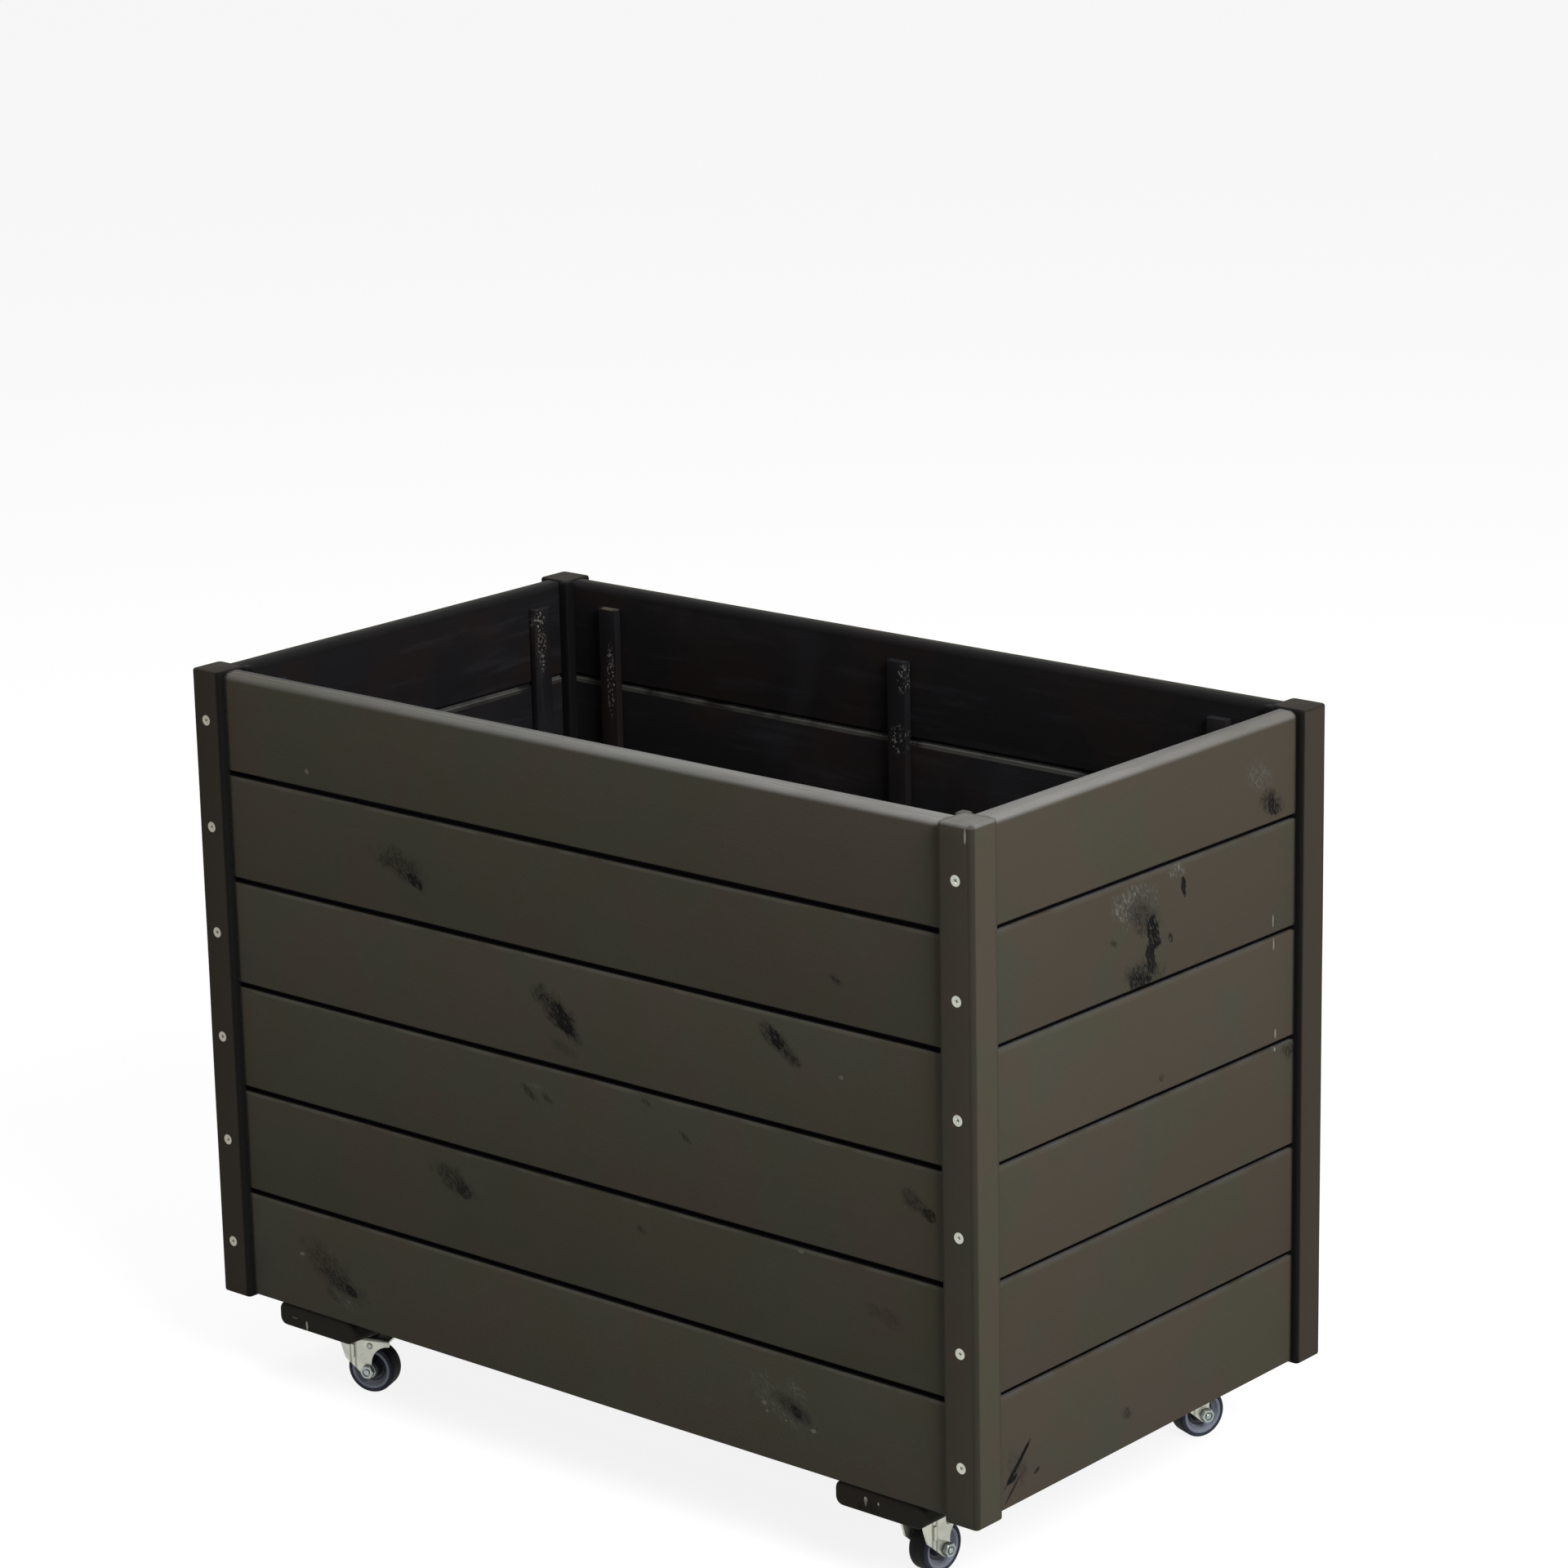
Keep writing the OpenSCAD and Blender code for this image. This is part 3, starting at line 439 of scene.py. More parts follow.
def stained_wood(name, along, seed, tone=1.0, marks=(), across="X", turn=0.0, outside=None,
                 painted_shade=None, rubbed_sheen=None, worn_highlights=(), russet=0.0):
    """Thin dark stain over planed softwood. along is the axis of the grain, seed moves its pattern
    and russet adds to the share of warm stain; marks lie on the plane of across and Z, their
    strokes sloped by turn. outside and the two masks after it take the three coordinates: 1 on the
    outside of the box, 1 where painted shade darkens the wood towards black, and 1 where the stain
    is rubbed grey under a painted sheen. The edge list holds (height, colour, how much) of edges
    lightened by wear and by a painted highlight"""
    finish = settings().finish
    olive, reddish, slate = [Vector(c) * tone for c in (finish.olive, finish.russet, finish.slate)]
    shift = Vector((sin(seed * 1.7), cos(seed * 2.3), 0)) * 3.1

    def build(graph, place):
        axes = graph.split(place)
        z = axes[2]

        def mapped(vector, location=(0, 0, 0), scale=(1, 1, 1)):
            return graph.node("ShaderNodeMapping", None, {
                "Vector": vector, "Location": location, "Scale": scale})

        def along_grain(other):
            return [1.0 if axis == along else other for axis in "XYZ"]

        shifted = mapped(place, (shift.x + seed, shift.y, seed * 0.37), along_grain(9.0))
        grain = graph.noise(shifted, 9, 5, 0.62, 0.35)
        pores = graph.noise(mapped(shifted, scale=along_grain(6.0)), 22, 3, 0.7)
        cloud = graph.noise(mapped(place, (seed * 2.1, seed, 0)), 9.5, 2.5, 0.5, 0.4)
        warm = graph.noise(mapped(place, (0, seed * 3.3, seed)), 11, 3, 0.55, 0.2)
        base = graph.mix(cloud.fade(0.40, 0.64), olive, slate)
        base = graph.mix(warm.fade(0.46 - russet, 0.64 - russet) * 0.75, base, reddish)
        dim = (grain - 0.5) * 0.26 + (pores - 0.5) * 0.16 + (cloud - 0.5) * 0.22
        base = graph.mix((0.5 - dim).most(0.0) * 0.36, base, finish.knot_and_shade)
        outer = 1.0
        if outside:
            outer = outside(*axes)
            inner = graph.mix(warm.fade(0.45, 0.65) * 0.6, finish.inside, UMBER)
            pale = grain.fade(0.50, 0.75) * 0.5 + cloud.fade(0.5, 0.7) * 0.3
            inner = graph.mix(pale, inner, Vector(finish.inside) * 2.6)
            base = graph.mix(outer, inner, base)
        # painted sheen: the rubbed stain's grey and the light's sheen on the rims, mixed in by the
        # rubbed mask
        if rubbed_sheen:
            patchy = (0.75 + (grain - 0.5) * 0.9).least(1.0)
            base = graph.mix(rubbed_sheen(*axes) * patchy, base, finish.rubbed_sheen)
        deep = 0.0
        if marks:
            u, through = axes["XY".index(across)], axes["YX".index(across)]
            base, deep = marked(graph, base, place, u, z, through, marks, turn, outer)
        # painted highlight with some wear: a lighter line along each listed edge
        for height, worn, much in worn_highlights:
            patchy = graph.noise(place, 30, 3).fade(0.30, 0.60)
            near = abs(z - height).fade(1.7 * MM, 0.6 * MM) * patchy
            base = graph.mix(near * much, base, worn)
        # painted shade: near black where the shade mask is 1
        if painted_shade:
            base = graph.mix(painted_shade(*axes), base, finish.knot_and_shade)
        height = grain * 0.5 + pores * 0.5 - deep * 0.6
        return {
            "Base Color": base,
            "Roughness": grain * 0.22 + 0.50 + cloud * 0.10,
            "Normal": bumps(graph, height, 0.5 * MM, 0.55),
        }

    return shader(name, {"Specular IOR Level": 0.05}, build)


def plated(name, base, roughness, fork_shade=None):
    """Zinc plating: faint cloudy passivation and fine handling marks. The optional mask takes the
    three coordinates and gives how much painted shade darkens the plating"""

    def build(graph, place):
        cloud = graph.noise(place, 70, 4, 0.6, 0.5)
        spots = graph.noise(place, 900, 3, 0.6)
        tint = graph.mix(cloud.fade(0.40, 0.68), base, Vector(base) * 0.82)
        tint = graph.mix(graph.noise(place, 34, 2).fade(0.52, 0.74) * 0.35, tint, YELLOWED)
        tint = graph.mix(spots.fade(0.60, 0.76) * 0.35, tint, Vector(base) * 0.55)
        # painted shade towards near black where the mask asks for it
        if fork_shade:
            tint = graph.mix(fork_shade(*graph.split(place)), tint, FORK_SHADE)
        return {
            "Base Color": tint,
            "Roughness": cloud * 0.18 + spots * 0.10 + (roughness - 0.10),
            "Normal": bumps(graph, cloud + spots * 0.3, 0.2 * MM, 0.35),
        }

    return shader(name, {"Metallic": 0.9}, build)


def moulded(name, base, roughness, ring, dust=0.0, specular=0.4):
    """Moulded plastic or rubber: fine texture, the colour ring where the mesh's attribute ring is
    1, and a little dust. On a tyre the ring colour is a painted sheen; on a wheel it is the grey
    rim"""

    def build(graph, place):
        fine = graph.noise(place, 1500, 2, 0.6)
        cloud = graph.noise(place, 110, 4, 0.6)
        tint = graph.mix(cloud.fade(0.3, 0.8), Vector(base) * 0.85, Vector(base) * 1.15)
        rings = graph.node("ShaderNodeAttribute", {"attribute_name": "ring"}, None, "Fac")
        tint = graph.mix(rings * (cloud * 0.5 + 0.7).least(1.0), tint, ring)
        if dust:
            tint = graph.mix(cloud.fade(0.52, 0.8) * dust, tint, DUST)
        return {
            "Base Color": tint,
            "Roughness": cloud * 0.2 + (roughness - 0.1),
            "Normal": bumps(graph, fine, 0.1 * MM, 0.4),
        }

    return shader(name, {"Specular IOR Level": specular}, build)


# ---------- geometry trees ----------

def geometry_tree(name, inputs):
    """A geometry tree with named inputs, and fields for them"""
    tree = bpy.data.node_groups.new(name, "GeometryNodeTree")
    tree.interface.new_socket("Geometry", in_out="INPUT", socket_type="NodeSocketGeometry")
    for socket, kind in inputs:
        tree.interface.new_socket(socket, in_out="INPUT", socket_type=f"NodeSocket{kind}")
    tree.interface.new_socket("Geometry", in_out="OUTPUT", socket_type="NodeSocketGeometry")
    graph = Graph(tree)
    node = tree.nodes.new("NodeGroupInput")
    fields = {output.name: Field(graph, output) for output in node.outputs if output.name}
    return graph, fields


def tree_end(graph, geometry, material):
    """Realises the result, gives it its material and ends the tree"""
    plain = graph.node("GeometryNodeRealizeInstances", None, {"Geometry": geometry})
    done = graph.node("GeometryNodeSetMaterial", None, {"Geometry": plain, "Material": material})
    graph.node("NodeGroupOutput", None, {0: done})
    return graph.tree


def board_tree():
    """A tree that runs a section along a length, with a thinner housed part at both ends"""
    graph, given = geometry_tree("Run a section", (
        ("Length", "Float"), ("Spacing", "Float"), ("Housed", "Float"), ("Housed Low", "Float"),
        ("Housed High", "Float"), ("Waviness", "Float"), ("Seed", "Float"),
        ("Turn", "Rotation"), ("Place", "Vector"), ("Material", "Material")))
    outline = graph.node("GeometryNodeMeshToCurve", None, {"Mesh": given["Geometry"]})

    def run(section, start, end, count):
        line = graph.node("GeometryNodeCurvePrimitiveLine", None, {
            "Start": graph.vector(0.0, 0.0, start), "End": graph.vector(0.0, 0.0, end)})
        line = graph.node("GeometryNodeResampleCurve", None, {"Curve": line, "Count": count})
        return graph.node("GeometryNodeCurveToMesh", None, {
            "Curve": line, "Profile Curve": section, "Fill Caps": True})

    body = run(outline, 0.0, given["Length"], given["Length"] / given["Spacing"] + 1)
    seeded = graph.vector_math("ADD", {
        0: graph.node("GeometryNodeInputPosition"),
        1: graph.vector(given["Seed"], given["Seed"] * 1.7, 0.0)})
    stretched = graph.vector_math("MULTIPLY", {0: seeded, 1: (14.0, 14.0, 5.0)})
    depth = graph.noise(stretched).fade(0.3, 0.7) * given["Waviness"]
    normal = graph.node("GeometryNodeInputNormal")
    inwards = graph.vector_math("SCALE", {0: normal, "Scale": depth * -1.0})
    body = graph.node("GeometryNodeSetPosition", None, {"Geometry": body, "Offset": inwards})
    x, y, z = graph.split(graph.node("GeometryNodeInputPosition"))
    narrow = graph.vector(x.most(given["Housed Low"]).least(given["Housed High"]), y, z)
    housed = graph.node("GeometryNodeSetPosition", None, {"Geometry": outline, "Position": narrow})
    ends = run(housed, given["Housed"] * -1.0, given["Length"] + given["Housed"], 2)
    wanted = graph.node("FunctionNodeCompare", {"operation": "GREATER_THAN"},
                        {0: given["Housed"], 1: 0.0})
    ends = graph.node("GeometryNodeSwitch", {"input_type": "GEOMETRY"},
                      {"Switch": wanted, "True": ends})
    join = graph.tree.nodes.new("GeometryNodeJoinGeometry")
    for part in (ends, body):
        graph.tree.links.new(part.socket, join.inputs[0])
    placed = graph.node("GeometryNodeTransform", None, {
        "Geometry": Field(graph, join.outputs[0]), "Translation": given["Place"],
        "Rotation": given["Turn"]})
    return tree_end(graph, placed, given["Material"])


def set_out_tree():
    """A tree that sets a piece out on points, turned by their attribute and spun at random"""
    graph, given = geometry_tree("Set out on points", (
        ("Piece", "Object"), ("Spin", "Float"), ("Seed", "Int"), ("Material", "Material")))
    piece = graph.node("GeometryNodeObjectInfo", {"transform_space": "ORIGINAL"},
                       {"Object": given["Piece"]}, "Geometry")
    turn = graph.node("GeometryNodeInputNamedAttribute", {"data_type": "FLOAT_VECTOR"},
                      {"Name": "turn"})
    spin = graph.node("FunctionNodeRandomValue", {"data_type": "FLOAT"}, {
        2: given["Spin"] * -1.0, 3: given["Spin"], "Seed": given["Seed"]}, 1)
    spun = graph.node("FunctionNodeRotateRotation", {"rotation_space": "LOCAL"}, {
        "Rotation": graph.node("FunctionNodeEulerToRotation", None, {"Euler": turn}),
        "Rotate By": graph.node("FunctionNodeAxisAngleToRotation", None, {
            "Axis": (0, 0, 1), "Angle": spin})})
    placed = graph.node("GeometryNodeInstanceOnPoints", None, {
        "Points": given["Geometry"], "Instance": piece, "Rotation": spun})
    return tree_end(graph, placed, given["Material"])


def tree(name, make):
    """The geometry tree of that name, made once"""
    return bpy.data.node_groups.get(name) or make()


# ---------- mesh helpers ----------

def linked(name, data):
    """A new object with that data in the scene"""
    made = bpy.data.objects.new(name, data)
    bpy.context.scene.collection.objects.link(made)
    return made


def mesh_object(name, points, faces=(), edges=()):
    mesh = bpy.data.meshes.new(name)
    mesh.from_pydata([tuple(p) for p in points], edges, faces)
    return linked(name, mesh)


def remove(made):
    data = made.data
    bpy.data.objects.remove(made)
    if data.users == 0:
        bpy.data.meshes.remove(data)


def smoothed(mesh, angle=38.0):
    mesh.shade_smooth()
    mesh.set_sharp_from_angle(angle=radians(angle))


def plain(made, name, smooth=38.0):
    """The evaluated object as a plain mesh object of that name; the drawn one is removed"""
    graph = bpy.context.evaluated_depsgraph_get()
    mesh = bpy.data.meshes.new_from_object(
        made.evaluated_get(graph), preserve_all_data_layers=True, depsgraph=graph)
    remove(made)
    if not mesh.polygons:
        raise RuntimeError(f"{name} came out empty")
    mesh.name = name
    smoothed(mesh, smooth)
    return linked(name, mesh)


def grow(base, tree_now, values):
    """Puts a geometry tree on an object and sets its inputs by their identifiers"""
    modifier = base.modifiers.new("Shape", "NODES")
    modifier.node_group = tree_now
    for item in tree_now.interface.items_tree:
        if item.in_out == "INPUT" and item.name in values:
            modifier[item.identifier] = values[item.name]
    return base


def edit(made, change):
    """Changes an object's mesh by change(bm)"""
    bm = bmesh.new()
    bm.from_mesh(made.data)
    change(bm)
    bm.to_mesh(made.data)
    bm.free()
    return made


def arc(x, y, r, start, end, steps=6):
    """Points on an arc, its angles in degrees"""
    angles = [radians(start + (end - start) * i / steps) for i in range(steps + 1)]
    return [Vector((x + r * cos(a), y + r * sin(a))) for a in angles]


def rectangle(x, y, far_x, far_y):
    return [Vector((x, y)), Vector((far_x, y)), Vector((far_x, far_y)), Vector((x, far_y))]


def profile(points, z=0.0, r=0.0):
    """(radius, height) points given in mm from a radius and a height"""
    return [(r + out * MM, z + up * MM) for out, up in points]


def mirrored(points):
    """(radius, height) points followed by their mirror images"""
    return points + [(r, -z) for r, z in reversed(points)]


def ring_points(r, z, steps):
    angles = [2 * pi * i / steps for i in range(steps)]
    return [(r * cos(a), r * sin(a), z) for a in angles]


def anticlockwise(outline):
    area = sum(a.x * b.y - b.x * a.y for a, b in zip(outline, outline[1:] + outline[:1]))
    return outline[::-1] if area < 0 else outline


def loop_object(outline):
    """An outline as a closed loop of edges"""
    outline = anticlockwise(outline)
    count = len(outline)
    return mesh_object("outline", [(p.x, p.y, 0) for p in outline], (),
                       [(i, (i + 1) % count) for i in range(count)])


def prism(name, outline, low, high):
    """An outline in X and Y drawn up from low to high"""
    outline = anticlockwise(outline)
    count = len(outline)
    points = [(p.x, p.y, z) for z in (low, high) for p in outline]
    faces = [tuple(range(count))[::-1], tuple(range(count, 2 * count))]
    faces += [(i, (i + 1) % count, count + (i + 1) % count, count + i) for i in range(count)]
    return mesh_object(name, points, faces)


def turned(name, outline, steps):
    """An outline of (radius, height) points, turned about Z. One that starts on the axis ends on
    it too; any other is closed round a ring"""
    points, faces, rings = [], [], []
    for r, z in outline:
        added = ring_points(r, z, steps) if r else [(0, 0, z)]
        rings.append(range(len(points), len(points) + len(added)))
        points += added
    for low, high in zip(rings, rings[1:] + (rings[:1] if outline[0][0] else [])):
        for i in range(steps):
            j = (i + 1) % steps
            corners = [low[i % len(low)], low[j % len(low)],
                       high[j % len(high)], high[i % len(high)]]
            corners = list(dict.fromkeys(corners))
            if len(corners) > 2:
                faces.append(corners)
    return edit(mesh_object(name, points, faces), outwards)


def outwards(bm):
    """Turns the faces of a closed mesh outwards"""
    bmesh.ops.remove_doubles(bm, verts=bm.verts, dist=1e-7)
    bmesh.ops.recalc_face_normals(bm, faces=bm.faces)
    if bm.calc_volume(signed=True) < 0:
        bmesh.ops.reverse_faces(bm, faces=bm.faces)


def soften_ends(made, width, steps):
    """Rounds the edges of the end faces, the only faces with more than four corners"""

    def bevel(bm):
        edges = {edge for face in bm.faces if len(face.verts) > 4 for edge in face.edges}
        bmesh.ops.bevel(bm, geom=list(edges), offset=width, offset_type="OFFSET", segments=steps,
                        profile=0.5, affect="EDGES", clamp_overlap=True)

    return edit(made, bevel)


def planed(name, outline, soft, steps, values):
    """A planed piece of wood: a section run along its length, with softened ends"""
    wood = settings().wood
    base = grow(loop_object(outline), tree("Run a section", board_tree),
                {"Spacing": wood.spacing, "Waviness": wood.wave, **values})
    return soften_ends(plain(base, name), soft, steps)


def write_values(made, name, values):
    """Writes a number for each point as an attribute"""
    attribute = made.data.attributes.new(name, "FLOAT", "POINT")
    attribute.data.foreach_set("value", values)
    return made


def ringed(made, chosen):
    """Writes the attribute ring: 1 where chosen(radius, height) holds"""
    places = [v.co for v in made.data.vertices]
    return write_values(made, "ring", [float(chosen(p.xy.length, p.z)) for p in places])


def add_bevel(made, width, steps=2, angle=35.0):
    bevel = made.modifiers.new("Bevel", "BEVEL")
    bevel.width = width
    bevel.segments = steps
    bevel.limit_method = "ANGLE"
    bevel.angle_limit = radians(angle)
    bevel.harden_normals = False
    return made


def cut(made, other, operation="DIFFERENCE"):
    """Cuts or joins another closed mesh, which is then removed"""
    boolean = made.modifiers.new("Cut", "BOOLEAN")
    boolean.operation = operation
    boolean.solver = "EXACT"
    boolean.object = other
    done = plain(made, made.name)
    remove(other)
    return done


def moved(made, matrix):
    """Applies a place to an object's mesh"""
    made.data.transform(matrix)
    made.data.update()
    return made


def merged(name, parts):
    """Several objects as one"""
    bm = bmesh.new()
    materials = []
    for part in parts:
        start = len(bm.faces)
        bm.from_mesh(part.data)
        bm.faces.ensure_lookup_table()
        slots = list(part.data.materials)
        for face in bm.faces[start:]:
            own = slots[face.material_index] if slots else None
            if own not in materials:
                materials.append(own)
            face.material_index = materials.index(own)
    mesh = bpy.data.meshes.new(name)
    bm.to_mesh(mesh)
    bm.free()
    for material in materials:
        mesh.materials.append(material)
    for part in parts:
        remove(part)
    return linked(name, mesh)


def paint(made, material):
    made.data.materials.clear()
    made.data.materials.append(material)
    return made


def hand_in(made, body, node):
    """Attaches a piece to the body it rides on and hides the node it stands for"""
    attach(made, body)
    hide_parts(node)


def rotation(x_axis, y_axis, z_axis):
    return Matrix((x_axis, y_axis, z_axis)).transposed()


# ---------- where things are ----------

def side_of(corner):
    """-1 or 1 in X and in Y"""
    return (-1 if "left" in corner else 1, -1 if "front" in corner else 1)


def middle_of(node):
    low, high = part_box(node)
    return (low + high) / 2


def facing(low, high, out):
    """Middle of the side of a box that looks that way"""
    return (low + high) / 2 + out * (abs((high - low).dot(out)) / 2)


def board_thickness():
    low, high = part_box("front_board_1")
    return high.y - low.y


def screw_heights():
    """Heights of the screws through the posts"""
    heights = [v.co.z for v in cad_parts["front_post_screws"].data.vertices]
    r = settings().screws.post_head / 2
    low, high = min(heights), max(heights)
    pitch = (high - low - 2 * r) / (len(BOARDS) - 1)
    return [low + r + pitch * k for k in range(len(BOARDS))]


def post_screw_x(sx):
    """Where the screws through the posts are, along the front"""
    low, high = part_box("front_post_screws")
    r = settings().screws.post_head / 2
    return (high.x - r) if sx > 0 else (low.x + r)


def swivel_place(corner):
    """Place of a fork: Z up its swivel axis from the ground, X towards the axle"""
    plate, wheel = middle_of(f"caster_plate_{corner}"), middle_of(f"caster_tyre_{corner}")
    yaw = atan2(wheel.y - plate.y, wheel.x - plate.x)
    return Matrix.Translation((plate.x, plate.y, 0)) @ Matrix.Rotation(yaw, 4, "Z")


def axle_height(corner):
    low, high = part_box(f"caster_tyre_{corner}")
    return (low.z + high.z) / 2


def axle_place(corner):
    """Place of a wheel: Z along the axle"""
    place = Matrix.Translation((settings().casters.trail, 0, axle_height(corner)))
    return swivel_place(corner) @ place @ Matrix.Rotation(pi / 2, 4, "X")


def cheek_outer():
    """Distance from the middle of a fork to the outer face of a cheek"""
    c = settings().casters
    return c.wheel_wide / 2 + c.hub_proud + c.cheek_play + c.sheet


def islands(node):
    """Boxes of a node's separate solids"""
    bm = bmesh.new()
    bm.from_mesh(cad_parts[node].data)
    bmesh.ops.remove_doubles(bm, verts=bm.verts, dist=1e-6)
    left = set(bm.verts)
    boxes = []
    while left:
        todo = [left.pop()]
        found = []
        while todo:
            vert = todo.pop()
            found.append(vert.co.copy())
            for edge in vert.link_edges:
                other = edge.other_vert(vert)
                if other in left:
                    left.remove(other)
                    todo.append(other)
        boxes.append(tuple(Vector([pick(c[i] for c in found) for i in range(3)])
                           for pick in (min, max)))
    bm.free()
    return sorted(boxes, key=lambda b: tuple(round(c, 4) for c in (*b[0], *b[1])))


# ---------- operators ----------

class PLANTER_OT_posts(bpy.types.Operator):
    """Four corner posts with rounded outer corners, worn ends and countersunk screw holes"""
    bl_idname = "planter.posts"
    bl_label = "Corner posts"

    def execute(self, context):
        for number, corner in enumerate(CORNERS):
            self.post(corner, number)
        return {"FINISHED"}

    def section(self, corner):
        """Section of a post in plan, at its place"""
        wood, (sx, sy) = settings().wood, side_of(corner)
        low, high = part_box("post_front_left")
        size = high.x - low.x
        back = size - wood.post_lip
        b, r, e, lip_round = wood.post_face, wood.post_round, wood.post_edge, 2.4 * MM
        outline = arc(r, r, r, 180, 270, 8) + arc(b - e, e, e, 270, 360)
        outline += [Vector((b, back)), Vector((size, back))]
        outline += arc(size - lip_round, size - lip_round, lip_round, 0, 90, 4)
        outline += [Vector((back, size)), Vector((back, b))] + arc(e, b - e, e, 90, 180)
        edge = cad_bounds[1]
        return [Vector((sx * (edge[0] - p.x), sy * (edge[1] - p.y))) for p in outline]

    def material(self, corner, number):
        wood = settings().wood
        low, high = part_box(f"post_{corner}")
        edge, back, top_light = cad_bounds[1], high.x - low.x - wood.post_lip, TOP_SHEEN_AND_SHADE[corner]
        top_band = (high.z - 2.8 * MM, high.z - 1.2 * MM)
        # painted shade beside the boards reaches further out on the front posts, and is faint on
        # the near post
        reach = (5.5 if "front" in corner else 3.4) * MM
        beside = 0.35 if corner == "front_right" else 0.97

        def outside(x, y, z):
            depth = (abs(x) - (edge[0] - back)).most(abs(y) - (edge[1] - back))
            return depth.fade(-0.5 * MM, 0.5 * MM)

        # painted shade: near black beside the boards, a band at the rounded corner, a little on the
        # front and back faces, and on the darkened tops
        def painted_shade(x, y, z):
            dx, dy = edge[0] - abs(x), edge[1] - abs(y)
            far = dx.most(dy)
            ends = far.fade(wood.post_face - reach, wood.post_face - reach * 0.4) * beside
            corner_shade = far.fade(wood.post_round + MM, wood.post_round - MM) * 0.5
            front = dy.fade(2 * MM, 0.5 * MM) * 0.2
            top = z.fade(*top_band) * -min(top_light, 0.0)
            return ends.most(corner_shade).most(front).most(top)

        # the near post's top is rubbed grey under a painted sheen
        def rubbed_sheen(x, y, z):
            return z.fade(*top_band) * top_light

        tone, russet = POST_TONE[corner]
        return stained_wood(f"stained post {corner}", "Z", 3.1 + number * 1.9, tone,
                            MARKS.get(f"post_{corner}", ()), outside=outside, painted_shade=painted_shade,
                            rubbed_sheen=rubbed_sheen if top_light > 0 else None, russet=russet)

    def post(self, corner, number):
        low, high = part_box(f"post_{corner}")
        post = planed(f"wood_post_{corner}", self.section(corner), settings().wood.post_end, 4, {
            "Length": high.z - low.z, "Seed": 1.3 * number, "Place": (0, 0, low.z),
            "Material": self.material(corner, number)})
        post = cut(post, self.groove(corner, low.z - MM))
        post = cut(post, self.holes(corner))
        hand_in(post, "planter", f"post_{corner}")

    def groove(self, corner, bottom):
        """The groove for the long boards' ends"""
        wood, (sx, sy) = settings().wood, side_of(corner)
        low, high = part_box(f"{corner.split('_')[0]}_board_1")
        inner = sx * cad_bounds[1][0] - sx * wood.post_face
        end = high.x if sx > 0 else low.x
        middle = sy * cad_bounds[1][1] - sy * (wood.post_proud + board_thickness() / 2)
        half = wood.housed_thick / 2 + wood.play
        return prism("groove", rectangle(end + sx * wood.play, middle - half,
                                         inner - sx * MM, middle + half),
                     bottom, high.z + wood.play)

    def holes(self, corner):
        """The countersunk screw holes"""
        screws, (sx, sy) = settings().screws, side_of(corner)
        r, shank = screws.post_head / 2, screws.post_shank / 2 + HOLE_PLAY
        neck, rim = shank - r - 0.3 * MM, r + screws.ring
        hole = [(0, -41 * MM), (shank, -40 * MM), (shank, neck), (r, -0.35 * MM),
                (rim, 0.15 * MM), (rim, 2 * MM), (0, 2 * MM)]
        turn = rotation(RIGHT, Vector((0, 0, -sy)), Vector((0, sy, 0))).to_4x4()
        x, y = post_screw_x(sx), sy * cad_bounds[1][1]
        return merged("holes", [
            moved(turned("hole", hole, 24), Matrix.Translation((x, y, z)) @ turn)
            for z in screw_heights()])


